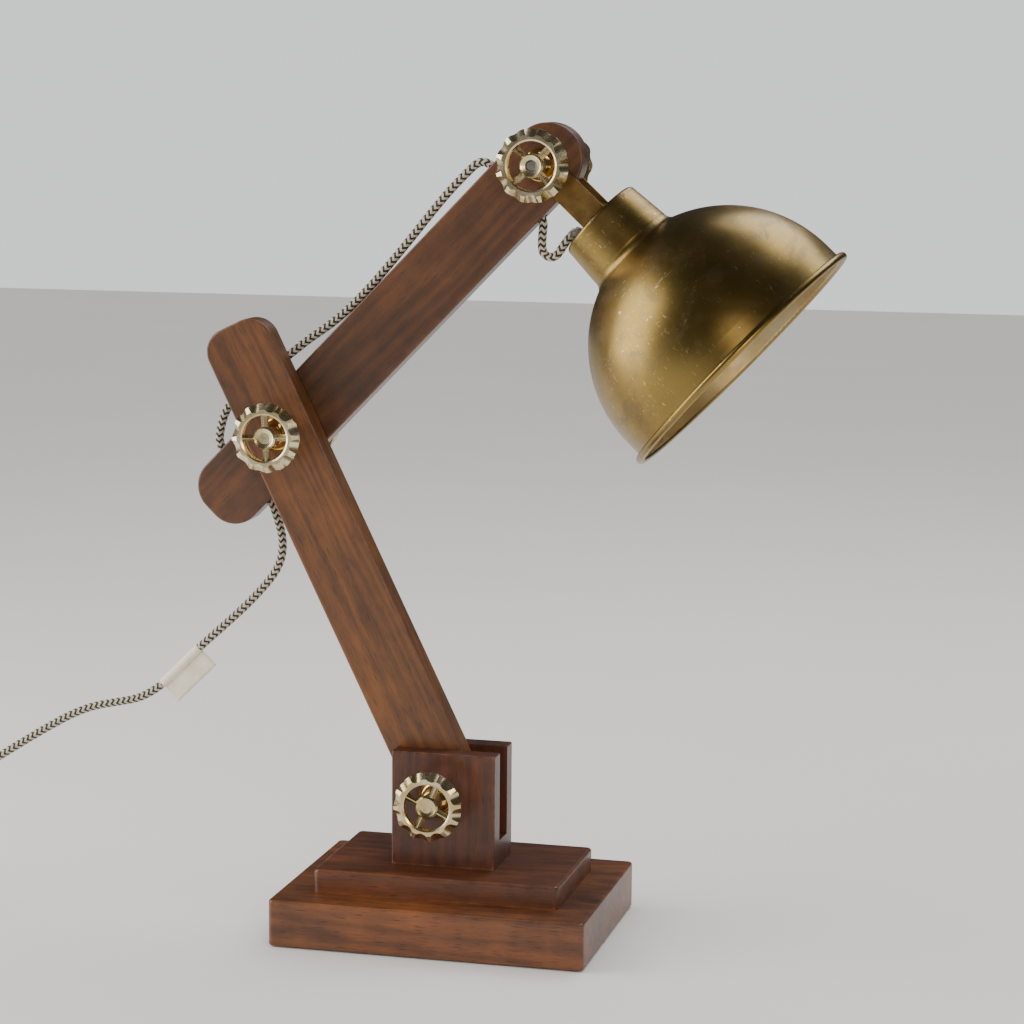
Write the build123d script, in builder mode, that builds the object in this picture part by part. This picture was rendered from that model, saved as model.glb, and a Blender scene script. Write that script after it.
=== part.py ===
"""Swing arm desk lamp: a stepped wooden base with a slotted block, two flat wooden arms on
handwheel pivots, a brass fork and a spun brass shade, wired with a braided cord.

Frame: +X to the right, +Y away from the front, +Z up, origin under the middle of the base.
All sizes are in millimetres."""

from math import atan2, cos, degrees, pi, radians, sin, sqrt, tan
import os

from build123d import *

# ---------------------------------------------------------------- driving dimensions
# Base
FELT_THICKNESS = 1.2
FELT_INSET = 6.0
PLINTH_WIDTH, PLINTH_DEPTH, PLINTH_HEIGHT = 240.0, 178.0, 35.0
STEP_WIDTH, STEP_DEPTH, STEP_HEIGHT = 188.0, 118.0, 17.3
BLOCK_WIDTH, BLOCK_DEPTH, BLOCK_HEIGHT = 80.0, 54.0, 87.0
BLOCK_X = -2.5
SLOT_WIDTH = 22.4
SLOT_FLOOR = 19.0

# Arms and pivots: each pivot is (x, z), its axis along Y
ARM_WIDTH = 54.0
ARM_THICKNESS = 20.0
SHOULDER = (-6.0, 107.0)
ELBOW = (-136.3, 374.7)
HEAD = (60.0, 577.5)
LOWER_TOP_REACH = 88.7
LOWER_TOP_RADIUS = 18.0
UPPER_TAIL_REACH = 90.0
UPPER_TAIL_RADIUS = 22.0
UPPER_HEAD_REACH = 32.4
ARM_EDGE_RADIUS = 1.6
SPACER_THICKNESS = 1.2

# Pivot hardware
ROD_RADIUS = 4.0
ROD_FIT = 0.06
ROD_HOLE_RADIUS = 4.15
STAND_OFF = 34.0
HEAD_STAND_OFF = 30.5
WHEEL_RADIUS = 26.0
HEAD_WHEEL_RADIUS = 27.0
CUP_HEIGHT = 14.0
CUP_RADIUS = 12.0
WASHER_RADIUS = 14.5
WASHER_THICKNESS = 1.5

# Head: distances along the shade's axis are counted from the head pivot
HEAD_ANGLE = 43.0
FORK_WIDTH = 21.6
FORK_THICKNESS = 2.5
FORK_GAP = 22.0
NECK_TOP = 56.4
NECK_TOP_RADIUS = 33.3
NECK_FOOT_RADIUS = 35.7
SHEET = 1.0
RIM_DISTANCE = 206.4
DOME_RADIUS = 102.0
DOME_CENTRE = 189.4
DOME_HOLE_RADIUS = 34.0
BEAD_RADIUS = 2.9
NIPPLE_RADIUS = 5.0
LAMP_THREAD_RADIUS = 13.2

# Cord
CORD_RADIUS = 3.2
CORD_HOLE_RADIUS = 4.4
NECK_CORD_HEIGHT = -16.0
BUSH_RADIUS = 4.5
HEAD_CORD_HOLE = -29.0
TAIL_CORD_HOLE = -52.0
COIL_CENTRE = (-478.0, -92.0)
COIL_RADII = (38.2, 31.8)
COIL_LAYERS = 3

os.makedirs("parts", exist_ok=True)

# ---------------------------------------------------------------- derived places
Z_PLINTH = FELT_THICKNESS
Z_STEP = Z_PLINTH + PLINTH_HEIGHT
Z_BLOCK = Z_STEP + STEP_HEIGHT
Z_BLOCK_TOP = Z_BLOCK + BLOCK_HEIGHT
LOWER_FRONT = -ARM_THICKNESS / 2
LOWER_BACK = ARM_THICKNESS / 2
UPPER_FRONT = LOWER_BACK + SPACER_THICKNESS
UPPER_MIDDLE = UPPER_FRONT + ARM_THICKNESS / 2
UPPER_BACK = UPPER_FRONT + ARM_THICKNESS
FORK_FRONT = UPPER_MIDDLE - FORK_GAP / 2 - FORK_THICKNESS
FORK_BACK = UPPER_MIDDLE + FORK_GAP / 2 + FORK_THICKNESS
LOWER_ANGLE = degrees(atan2(ELBOW[1] - SHOULDER[1], ELBOW[0] - SHOULDER[0]))
UPPER_ANGLE = degrees(atan2(HEAD[1] - ELBOW[1], HEAD[0] - ELBOW[0]))
LOWER_SPAN = sqrt((ELBOW[0] - SHOULDER[0]) ** 2 + (ELBOW[1] - SHOULDER[1]) ** 2)
UPPER_SPAN = sqrt((HEAD[0] - ELBOW[0]) ** 2 + (HEAD[1] - ELBOW[1]) ** 2)


def front_plane(pivot, angle, y):
    """A plane seen from the front, its X along the given angle in the XZ plane."""
    turn = radians(angle)
    return Plane(origin=(pivot[0], y, pivot[1]), x_dir=(cos(turn), 0, sin(turn)), z_dir=(0, -1, 0))


def outward(y_face, side, pivot):
    """A plane at a pivot whose Z points out of the lamp: side -1 is the front, +1 the back."""
    return Plane(origin=(pivot[0], y_face, pivot[1]), x_dir=(-side, 0, 0), z_dir=(0, side, 0))


def finish(part, name):
    """Labels a piece and writes it to its own file."""
    part.label = name
    export_step(part, f"parts/{name}.step")


# ---------------------------------------------------------------- base
def build_base():
    """Felt, two plinths, the slotted block and the screws that hold them together."""
    with BuildPart() as base_felt:
        with BuildSketch(Plane.XY):
            Rectangle(PLINTH_WIDTH - 2 * FELT_INSET, PLINTH_DEPTH - 2 * FELT_INSET)
        extrude(amount=FELT_THICKNESS)
        fillet(base_felt.edges().filter_by(Axis.Z), 4)
    finish(base_felt.part, "base_felt")

    step_screws = [(sx * 70, sy * 40) for sx in (-1, 1) for sy in (-1, 1)]
    block_screws = [(BLOCK_X + sx * 27, 0) for sx in (-1, 1)]
    head_radius, head_depth, shank = 4.6, 9.0, 2.2

    with BuildPart() as lower_plinth:
        with BuildSketch(Plane.XY.offset(Z_PLINTH)):
            Rectangle(PLINTH_WIDTH, PLINTH_DEPTH)
        extrude(amount=PLINTH_HEIGHT)
        fillet(lower_plinth.edges().filter_by(Axis.Z), 4)
        fillet(lower_plinth.faces().sort_by(Axis.Z)[-1].outer_wire().edges(), 2)
        fillet(lower_plinth.faces().sort_by(Axis.Z)[0].outer_wire().edges(), 1.2)
        with Locations(Plane.XY.offset(Z_PLINTH)):
            with Locations(*step_screws, *block_screws):
                Cylinder(head_radius + 0.3, head_depth, align=(Align.CENTER, Align.CENTER, Align.MIN),
                         mode=Mode.SUBTRACT)
                Cylinder(shank + 0.15, PLINTH_HEIGHT, align=(Align.CENTER, Align.CENTER, Align.MIN),
                         mode=Mode.SUBTRACT)
    finish(lower_plinth.part, "lower_plinth")

    with BuildPart() as upper_plinth:
        with BuildSketch(Plane.XY.offset(Z_STEP)):
            Rectangle(STEP_WIDTH, STEP_DEPTH)
        extrude(amount=STEP_HEIGHT)
        fillet(upper_plinth.edges().filter_by(Axis.Z), 4.5)
        fillet(upper_plinth.faces().sort_by(Axis.Z)[-1].outer_wire().edges(), 2.4)
        with Locations(Plane.XY.offset(Z_STEP)):
            with Locations(*step_screws):
                Cylinder(shank + 0.15, STEP_HEIGHT - 4, align=(Align.CENTER, Align.CENTER, Align.MIN),
                         mode=Mode.SUBTRACT)
            with Locations(*block_screws):
                Cylinder(shank + 0.15, STEP_HEIGHT, align=(Align.CENTER, Align.CENTER, Align.MIN),
                         mode=Mode.SUBTRACT)
    finish(upper_plinth.part, "upper_plinth")

    with BuildPart() as clevis_block:
        with BuildSketch(Plane.XY.offset(Z_BLOCK)):
            with Locations((BLOCK_X, 0)):
                Rectangle(BLOCK_WIDTH, BLOCK_DEPTH)
        extrude(amount=BLOCK_HEIGHT)
        fillet(clevis_block.edges().filter_by(Axis.Z), 1.6)
        with BuildSketch(Plane.XY.offset(Z_BLOCK + SLOT_FLOOR)):
            with Locations((BLOCK_X, 0)):
                Rectangle(BLOCK_WIDTH, SLOT_WIDTH)
        extrude(amount=BLOCK_HEIGHT, mode=Mode.SUBTRACT)
        fillet(clevis_block.faces().sort_by(Axis.Z)[-2:].edges(), 1.2)
        with BuildSketch(front_plane(SHOULDER, 0, BLOCK_DEPTH / 2)):
            Circle(ROD_HOLE_RADIUS)
        extrude(amount=BLOCK_DEPTH, mode=Mode.SUBTRACT)
        with Locations(Plane.XY.offset(Z_BLOCK)):
            with Locations(*block_screws):
                Cylinder(shank + 0.15, SLOT_FLOOR - 5, align=(Align.CENTER, Align.CENTER, Align.MIN),
                         mode=Mode.SUBTRACT)
    finish(clevis_block.part, "clevis_block")

    groups = {"step_screws": (step_screws, PLINTH_HEIGHT + STEP_HEIGHT - 5),
              "block_screws": (block_screws, PLINTH_HEIGHT + STEP_HEIGHT + SLOT_FLOOR - 6)}
    for name, (places, top) in groups.items():
        with BuildPart() as screws:
            with Locations(Plane.XY.offset(Z_PLINTH)):
                with Locations(*places):
                    with Locations((0, 0, 5)):
                        Cylinder(head_radius, head_depth - 5,
                                 align=(Align.CENTER, Align.CENTER, Align.MIN))
                        Cylinder(shank, top - 5, align=(Align.CENTER, Align.CENTER, Align.MIN))
                        Box(6, 1.2, 1.5, align=(Align.CENTER, Align.CENTER, Align.MIN),
                            mode=Mode.SUBTRACT)
        finish(screws.part, name)


# ---------------------------------------------------------------- arms
def arm_blank(plane, low, high, low_radius, high_radius):
    """A flat arm along the plane's X from low to high, with rounded ends and softened edges."""
    with BuildPart() as blank:
        with BuildSketch(plane):
            with Locations(((low + high) / 2, 0)):
                Rectangle(high - low, ARM_WIDTH)
            fillet(vertices().group_by(Axis.X)[0], low_radius)
            fillet(vertices().group_by(Axis.X)[-1], high_radius)
        extrude(amount=ARM_THICKNESS)
        fillet(blank.faces().filter_by(Axis.Y).edges(), ARM_EDGE_RADIUS)
    return blank.part


def build_arms():
    """The lower arm in the block's slot and the upper arm behind it, with its two cord holes."""
    full_round = ARM_WIDTH / 2 - 0.05
    lower_plane = front_plane(SHOULDER, LOWER_ANGLE, LOWER_BACK)
    blank = arm_blank(lower_plane, -ARM_WIDTH / 2, LOWER_SPAN + LOWER_TOP_REACH,
                      full_round, LOWER_TOP_RADIUS)
    with BuildPart() as lower_arm:
        add(blank)
        with BuildSketch(lower_plane):
            with Locations((0, 0), (LOWER_SPAN, 0)):
                Circle(ROD_HOLE_RADIUS)
        extrude(amount=ARM_THICKNESS, mode=Mode.SUBTRACT)
    finish(lower_arm.part, "lower_arm")

    upper_plane = front_plane(ELBOW, UPPER_ANGLE, UPPER_BACK)
    blank = arm_blank(upper_plane, -UPPER_TAIL_REACH, UPPER_SPAN + UPPER_HEAD_REACH,
                      UPPER_TAIL_RADIUS, full_round)
    along = upper_plane.x_dir
    with BuildPart() as upper_arm:
        add(blank)
        with BuildSketch(upper_plane):
            with Locations((0, 0), (UPPER_SPAN, 0)):
                Circle(ROD_HOLE_RADIUS)
        extrude(amount=ARM_THICKNESS, mode=Mode.SUBTRACT)
        for distance in (TAIL_CORD_HOLE, UPPER_SPAN + HEAD_CORD_HOLE):
            middle = Vector(ELBOW[0], UPPER_MIDDLE, ELBOW[1]) + along * distance
            with BuildSketch(Plane(origin=middle, x_dir=(0, 1, 0), z_dir=upper_plane.y_dir)):
                Circle(CORD_HOLE_RADIUS)
            extrude(amount=ARM_WIDTH, both=True, mode=Mode.SUBTRACT)
    finish(upper_arm.part, "upper_arm")


# ---------------------------------------------------------------- pivot hardware
def handwheel(plane, radius, capped, turn, stem_end):
    """A cast wheel on a plane whose Z points outwards, its hub's face at the plane: a scalloped
    rim, four ridged spokes, and a hub with a stem that runs back to the cup washer."""
    scale = radius / WHEEL_RADIUS
    inner, rim_depth = 17.3 * scale, 7.0
    hub, stem = 8.6 * scale, 7.6
    scallops, cutter_radius = 12, 7.6 * scale
    with BuildPart() as wheel:
        with BuildSketch(Plane.XZ):
            with BuildLine():
                Polyline((inner, -0.6), (inner + 1.2, 0), (radius - 4.5, 0), (radius, -2.6),
                         (radius, -rim_depth + 1.4), (radius - 1.6, -rim_depth),
                         (inner + 1.4, -rim_depth), (inner, -rim_depth + 1.2), (inner, -0.6))
            make_face()
        revolve(axis=Axis.Z)
        with PolarLocations(radius + 3.6 * scale, scallops, start_angle=15):
            with Locations(Location((0, 0, 0.6), (0, -42, 0))):
                Cylinder(cutter_radius, 26, mode=Mode.SUBTRACT)
        with BuildSketch(Plane.XZ):
            with BuildLine():
                Polyline((0, -stem_end), (stem, -stem_end), (stem, -rim_depth), (hub, -rim_depth + 1.2),
                         (hub, -1.0), (hub - 1.2, 0.3), (hub - 2.4, -0.2), (hub - 4.4, -0.8), (0, -0.8),
                         (0, -stem_end))
            make_face()
        revolve(axis=Axis.Z)
        for spoke in range(4):
            way = radians(90 * spoke)
            start = (hub - 1.2) * Vector(cos(way), sin(way), 0)
            with BuildSketch(Plane(origin=start, x_dir=(-sin(way), cos(way), 0),
                                   z_dir=(cos(way), sin(way), 0))):
                Polygon((-2.5, -5.6), (2.5, -5.6), (2.5, -3.0), (0.4, -0.9), (-0.4, -0.9), (-2.5, -3.0),
                        align=None)
            extrude(amount=inner - hub + 2.0)
        bore_top = -2.5 if capped else 0.5
        with BuildSketch(Plane.XY.offset(bore_top)):
            Circle(ROD_RADIUS + ROD_FIT)
        extrude(amount=-stem_end - bore_top - 1, mode=Mode.SUBTRACT)
    return wheel.part.moved(plane.location * Location((0, 0, 0), (0, 0, turn)))


def ring(plane, radius, hole, height):
    """A flat washer standing on a plane."""
    with BuildPart() as washer:
        with BuildSketch(plane):
            Circle(radius)
            Circle(hole, mode=Mode.SUBTRACT)
        extrude(amount=height)
    return washer.part


def cup(plane):
    """A domed cup washer: a turned brass sleeve, wide at the wood and narrow at the wheel."""
    with BuildPart() as sleeve:
        with BuildSketch(Plane.XZ):
            with BuildLine():
                Polyline((ROD_RADIUS + ROD_FIT, 0), (CUP_RADIUS, 0), (CUP_RADIUS, 1.6),
                         (CUP_RADIUS - 0.8, 2.2))
                ThreePointArc((CUP_RADIUS - 0.8, 2.2), (10.6, 8.0), (8.2, CUP_HEIGHT - 0.6))
                Polyline((8.2, CUP_HEIGHT - 0.6), (7.6, CUP_HEIGHT), (ROD_RADIUS + ROD_FIT, CUP_HEIGHT),
                         (ROD_RADIUS + ROD_FIT, 0))
            make_face()
        revolve(axis=Axis.Z)
    return sleeve.part.moved(plane.location)


def build_pivot(name, pivot, front_face, back_face, radius, turn, stand_off, open_hub=False):
    """One pivot's rod, cup washers and front and back handwheels. A wheel with a closed hub
    stands on wood, over a flat washer; one with an open hub stands on the fork."""
    reach = stand_off - (1.2 if open_hub else 3.0)
    lift = 0 if open_hub else WASHER_THICKNESS
    stem_end = stand_off - CUP_HEIGHT - lift - 0.05
    with BuildPart() as rod:
        with BuildSketch(front_plane(pivot, 0, back_face + reach)):
            Circle(ROD_RADIUS)
        extrude(amount=back_face - front_face + 2 * reach)
        chamfer(rod.edges().filter_by(GeomType.CIRCLE), 0.6)
    finish(rod.part, f"{name}_rod")
    for side_name, face, side in (("front", front_face, -1), ("back", back_face, 1)):
        seat = outward(face, side, pivot)
        spin = turn if side < 0 else turn + 20
        wheel = handwheel(seat.offset(stand_off), radius, not open_hub, spin, stem_end)
        finish(wheel, f"{name}_{side_name}_handwheel")
        finish(cup(seat.offset(lift)), f"{name}_{side_name}_cup")
        if not open_hub:
            washer = ring(seat, WASHER_RADIUS, ROD_RADIUS + 0.2, WASHER_THICKNESS)
            finish(washer, f"{name}_{side_name}_washer")


def build_pivots():
    """The shoulder, elbow and head pivots, and the fibre washers between their layers."""
    half_block = BLOCK_DEPTH / 2
    build_pivot("shoulder", SHOULDER, -half_block, half_block, WHEEL_RADIUS, -25, STAND_OFF)
    build_pivot("elbow", ELBOW, LOWER_FRONT, UPPER_BACK, WHEEL_RADIUS, 3, STAND_OFF)
    build_pivot("head", HEAD, FORK_FRONT, FORK_BACK, HEAD_WHEEL_RADIUS, 45, HEAD_STAND_OFF, True)
    gap = (SLOT_WIDTH - ARM_THICKNESS) / 2 - 0.02
    with BuildPart() as slot_washers:
        add(ring(outward(LOWER_FRONT - 0.01, -1, SHOULDER), 13, ROD_RADIUS + 0.2, gap))
        add(ring(outward(LOWER_BACK + 0.01, 1, SHOULDER), 13, ROD_RADIUS + 0.2, gap))
    finish(slot_washers.part, "shoulder_slot_washers")
    spacer = ring(outward(LOWER_BACK, 1, ELBOW), 15, ROD_RADIUS + 0.2, SPACER_THICKNESS)
    finish(spacer, "elbow_spacer")
    gap = (FORK_GAP - ARM_THICKNESS) / 2 - 0.02
    with BuildPart() as fork_washers:
        add(ring(outward(UPPER_FRONT - 0.01, -1, HEAD), 10, ROD_RADIUS + 0.2, gap))
        add(ring(outward(UPPER_BACK + 0.01, 1, HEAD), 10, ROD_RADIUS + 0.2, gap))
    finish(fork_washers.part, "fork_washers")


# ---------------------------------------------------------------- head
def head_plane(y=UPPER_MIDDLE):
    """The head's own plane: X along the shade's axis from the pivot, Y towards its upper side."""
    return front_plane(HEAD, -HEAD_ANGLE, y)


def head_axis():
    """The shade's axis."""
    plane = head_plane()
    return Axis(plane.origin, plane.x_dir)


def across_axis(distance, height=0):
    """A plane square to the shade's axis, at a distance along it and a height above it."""
    plane = head_plane()
    origin = plane.origin + plane.x_dir * distance + plane.y_dir * height
    return Plane(origin=origin, x_dir=(0, 1, 0), z_dir=plane.x_dir)


def turned(points, name):
    """A piece turned about the shade's axis from a closed outline of (distance, radius)."""
    with BuildPart() as piece:
        with BuildSketch(head_plane()):
            with BuildLine():
                Polyline(*points, points[0])
            make_face()
        revolve(axis=head_axis())
    finish(piece.part, name)


def build_fork():
    """The strap fork with its web on the neck, and the hollow nipple and nut that hold it."""
    web = NECK_TOP - FORK_THICKNESS
    half = FORK_WIDTH / 2
    outer = FORK_GAP / 2 + FORK_THICKNESS
    with BuildPart() as fork:
        with BuildSketch(head_plane(FORK_BACK)):
            with Locations((NECK_TOP / 2, 0)):
                Rectangle(NECK_TOP, FORK_WIDTH)
            Circle(half)
        extrude(amount=2 * outer)
        with BuildSketch(head_plane(UPPER_MIDDLE + FORK_GAP / 2)):
            with Locations((web / 2 - half, 0)):
                Rectangle(web + 2 * half, FORK_WIDTH + 2)
        extrude(amount=FORK_GAP, mode=Mode.SUBTRACT)
        across = fork.edges().filter_by(Axis((0, 0, 0), head_plane().y_dir))
        fillet(across.sort_by(head_axis())[-2:], 3.0)
        with BuildSketch(head_plane(FORK_BACK)):
            Circle(ROD_RADIUS + ROD_FIT)
        extrude(amount=2 * outer, mode=Mode.SUBTRACT)
        with BuildSketch(across_axis(0)):
            Circle(NIPPLE_RADIUS + 0.1)
        extrude(amount=NECK_TOP + 5, mode=Mode.SUBTRACT)
    finish(fork.part, "fork")

    bore = 3.4
    turned([(web - 9, bore), (web - 9, NIPPLE_RADIUS - 0.5), (web - 8.4, NIPPLE_RADIUS),
            (NECK_TOP + 14, NIPPLE_RADIUS), (NECK_TOP + 14, bore)], "fork_nipple")
    for name, start, height in (("fork_nut", web - 5.5, 5.5), ("neck_locknut", NECK_TOP + SHEET, 3.0)):
        with BuildPart() as nut:
            with BuildSketch(across_axis(start)):
                RegularPolygon(8.2, 6)
                Circle(NIPPLE_RADIUS + 0.05, mode=Mode.SUBTRACT)
            extrude(amount=height)
        finish(nut.part, name)


def build_shade():
    """The neck cup with its rounded top, the spun dome and its rolled rim bead."""
    top, foot = NECK_TOP, 88.0
    meet_radius = 39.0
    meet = DOME_CENTRE - sqrt(DOME_RADIUS**2 - meet_radius**2)
    slant = sin(radians(45))
    with BuildPart() as shade_neck:
        with BuildSketch(head_plane()):
            with BuildLine():
                Line((top, NIPPLE_RADIUS + 0.1), (top, NECK_TOP_RADIUS - 3))
                ThreePointArc((top, NECK_TOP_RADIUS - 3), (top + 3 - 3 * slant, NECK_TOP_RADIUS - 3 + 3 * slant),
                              (top + 3, NECK_TOP_RADIUS))
                Line((top + 3, NECK_TOP_RADIUS), (foot, NECK_FOOT_RADIUS))
                ThreePointArc((foot, NECK_FOOT_RADIUS), (foot + 4.4, NECK_FOOT_RADIUS + 0.8),
                              (meet, meet_radius))
                Polyline((meet, meet_radius), (meet + 2, meet_radius - 1), (meet + 2, NECK_FOOT_RADIUS - SHEET),
                         (foot, NECK_FOOT_RADIUS - SHEET), (top + 3, NECK_TOP_RADIUS - SHEET))
                ThreePointArc((top + 3, NECK_TOP_RADIUS - SHEET),
                              (top + 3 - 2 * slant, NECK_TOP_RADIUS - 3 + 2 * slant),
                              (top + SHEET, NECK_TOP_RADIUS - 3))
                Polyline((top + SHEET, NECK_TOP_RADIUS - 3), (top + SHEET, NIPPLE_RADIUS + 0.1),
                         (top, NIPPLE_RADIUS + 0.1))
            make_face()
        revolve(axis=head_axis())
        with Locations(across_axis(DOME_CENTRE)):
            Sphere(DOME_RADIUS + 0.03, mode=Mode.SUBTRACT)
        with BuildSketch(across_axis(0, NECK_CORD_HEIGHT)):
            Circle(BUSH_RADIUS + 0.05)
        extrude(amount=NECK_TOP + 3, mode=Mode.SUBTRACT)
    finish(shade_neck.part, "shade_neck")

    with BuildPart() as cord_bush:
        with BuildSketch(across_axis(top - 0.6, NECK_CORD_HEIGHT)):
            Circle(BUSH_RADIUS + 0.4)
        extrude(amount=0.6)
        with BuildSketch(across_axis(top - 0.6, NECK_CORD_HEIGHT)):
            Circle(BUSH_RADIUS)
        extrude(amount=2.2)
        with BuildSketch(across_axis(top - 0.6, NECK_CORD_HEIGHT)):
            Circle(CORD_RADIUS + 0.75)
        extrude(amount=2.2, mode=Mode.SUBTRACT)
    finish(cord_bush.part, "cord_bush")

    inside = DOME_RADIUS - SHEET
    hole_out = DOME_CENTRE - sqrt(DOME_RADIUS**2 - DOME_HOLE_RADIUS**2)
    hole_in = DOME_CENTRE - sqrt(inside**2 - DOME_HOLE_RADIUS**2)
    bead_x, bead_r = RIM_DISTANCE - BEAD_RADIUS, DOME_RADIUS + BEAD_RADIUS - 0.6
    with BuildPart() as shade_dome:
        with BuildSketch(head_plane()):
            with BuildLine():
                ThreePointArc((hole_out, DOME_HOLE_RADIUS),
                              (DOME_CENTRE - DOME_RADIUS * slant, DOME_RADIUS * slant),
                              (DOME_CENTRE, DOME_RADIUS))
                Polyline((DOME_CENTRE, DOME_RADIUS), (bead_x, DOME_RADIUS), (bead_x, inside),
                         (DOME_CENTRE, inside))
                ThreePointArc((DOME_CENTRE, inside), (DOME_CENTRE - inside * slant, inside * slant),
                              (hole_in, DOME_HOLE_RADIUS))
                Line((hole_in, DOME_HOLE_RADIUS), (hole_out, DOME_HOLE_RADIUS))
            make_face()
            with Locations((bead_x, bead_r)):
                Circle(BEAD_RADIUS)
        revolve(axis=head_axis())
    finish(shade_dome.part, "shade_dome")


def build_lampholder():
    """The screw lampholder on the nipple's lower end: cap, insulator, screw shell and contact."""
    start = NECK_TOP + SHEET + 3.05
    bore = NIPPLE_RADIUS + 0.05
    turned([(start, bore), (start, 11), (start + 6, 18), (start + 8, 19), (start + 17, 19),
            (start + 17, 18), (start + 8, 18), (start + 6.4, 17), (start + 1.2, 10.6), (start + 1.2, bore)],
           "lampholder_cap")
    thread, shell = LAMP_THREAD_RADIUS, LAMP_THREAD_RADIUS + 0.8
    base = start + 15
    turned([(base, 0), (base, 17.9), (base + 4, 17.9), (base + 4, 19.6), (base + 34, 19.6),
            (base + 35, 18.6), (base + 35, 15.0), (base + 34, shell + 0.1), (base + 6, shell + 0.1),
            (base + 6, 0)], "lampholder_insulator")
    turned([(base + 6.2, 8), (base + 6.2, shell), (base + 33, shell), (base + 33, thread),
            (base + 7, thread), (base + 7, 8)], "screw_shell")
    turned([(base + 6, 0), (base + 6, 4.0), (base + 6.3, 4.0), (base + 6.8, 2.2), (base + 6.8, 0)],
           "centre_contact")
    return base


# ---------------------------------------------------------------- cord
def fitted_radii(points):
    """The largest arc at each corner of a route: 0.45 of the shorter run over tan(half turn)."""
    radii = []
    for before, here, after in zip(points, points[1:], points[2:]):
        run_in, run_out = Vector(*here) - Vector(*before), Vector(*after) - Vector(*here)
        half_turn = radians(run_in.get_angle(run_out)) / 2
        radii.append(0.45 * min(run_in.length, run_out.length) / tan(half_turn))
    return radii


def tube(points, name):
    """A cord stretch: straight runs joined by tangent arcs."""
    radii = fitted_radii(points)
    with BuildPart() as stretch:
        with BuildLine() as path:
            FilletPolyline(*points, radius=radii)
        start = Vector(*points[1]) - Vector(*points[0])
        with BuildSketch(Plane(origin=points[0], z_dir=start)):
            Circle(CORD_RADIUS)
        sweep(path=path.wires()[0])
    length = sum(edge.length for edge in path.edges())
    exact = pi * CORD_RADIUS**2 * length
    print(f"{name}: {length:.1f} mm long, volume is {stretch.part.volume / exact:.4f} of section by length,",
          "radii", [round(radius, 1) for radius in radii])
    finish(stretch.part, name)
    return length


def in_arm_plane(*points):
    """Route points given as (x, z) in the upper arm's middle plane."""
    return [(x, UPPER_MIDDLE, z) for x, z in points]


def in_head(*points):
    """Route points given as (distance along the shade's axis, height above it)."""
    return [tuple(head_plane().from_local_coords(point)) for point in points]


HEAD_LOOP = in_head(
    (60.3, -16.0), (56.2, -16.0), (52.6, -18.2), (50.6, -21.9), (50.5, -28.0), (51.5, -35.0),
    (52.9, -41.8), (50.7, -46.2), (46.2, -48.2), (41.5, -46.9), (34.2, -38.6), (27.6, -29.68),
    (22.0, -29.4))
ARM_RUN = in_head((22.0, -29.4), (12.0, -28.9), (0.5, -29.5), (-12.0, -28.7), (-22.0, -29.2)) + in_arm_plane(
    (19.6, 576.3), (14.2, 578.9), (8.8, 577.9), (2.6, 572.2), (-12.3, 557.2), (-27.8, 538.9), (-43.0, 520.0),
    (-58.5, 501.5), (-74.0, 484.0), (-90.0, 467.6), (-105.6, 454.6), (-121.5, 444.0), (-137.4, 431.4),
    (-154.0, 418.4), (-170.5, 406.0), (-182.0, 396.4), (-189.8, 385.5), (-193.6, 372.5),
    (-194.8, 362.5), (-189.9, 353.8), (-181.0, 346.1), (-172.6, 337.5), (-164.0, 328.4), (-155.9, 321.2))
DROP = in_arm_plane(
    (-155.9, 321.2), (-152.3, 318.0), (-149.2, 309.0), (-145.6, 298.0), (-143.6, 287.5),
    (-144.3, 276.0), (-148.4, 265.2), (-157.0, 253.6), (-171.0, 238.4), (-187.2, 223.2),
    (-208.5, 204.2), (-229.8, 183.2))
LEAD = [
    (-229.8, 21.2, 183.2), (-246.9, 21.2, 166.34), (-262.5, 21.0, 157.2), (-281.0, 20.6, 153.2),
    (-299.0, 20.0, 149.6), (-317.0, 19.2, 142.5), (-338.0, 18.2, 130.5), (-360.0, 17.0, 116.8),
    (-382.0, 15.5, 102.6), (-405.0, 14.0, 87.2), (-427.0, 13.0, 71.0), (-448.0, 12.6, 53.0),
    (-467.0, 12.4, 34.5), (-483.0, 12.3, 18.0), (-497.0, 12.0, 7.0), (-512.0, 11.0, 3.3),
    (-528.0, 6.5, 3.4), (-540.5, -4.5, 3.6), (-546.5, -18.0, 7.0), (-547.4, -32.0, 9.2),
    (-547.0, -47.0, 9.0), (-547.1, -60.0, 9.1), (-547.0, -74.0, 9.0), (-546.6, -88.0, 8.8),
    (-544.5, -101.0, 5.0), (-537.5, -113.0, 3.5), (-526.5, -122.0, 3.3), (-513.0, -127.6, 3.35),
    (-500.9, -130.0, 3.3)]
COIL_TAIL = [
    (-488.9, -121.9, 16.2), (-478.0, -123.8, 18.2), (-467.1, -121.9, 21.2), (-457.1, -116.0, 24.6),
    (-450.5, -108.0, 27.0), (-447.9, -98.8, 27.8), (-447.2, -90.0, 27.8)]


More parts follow.
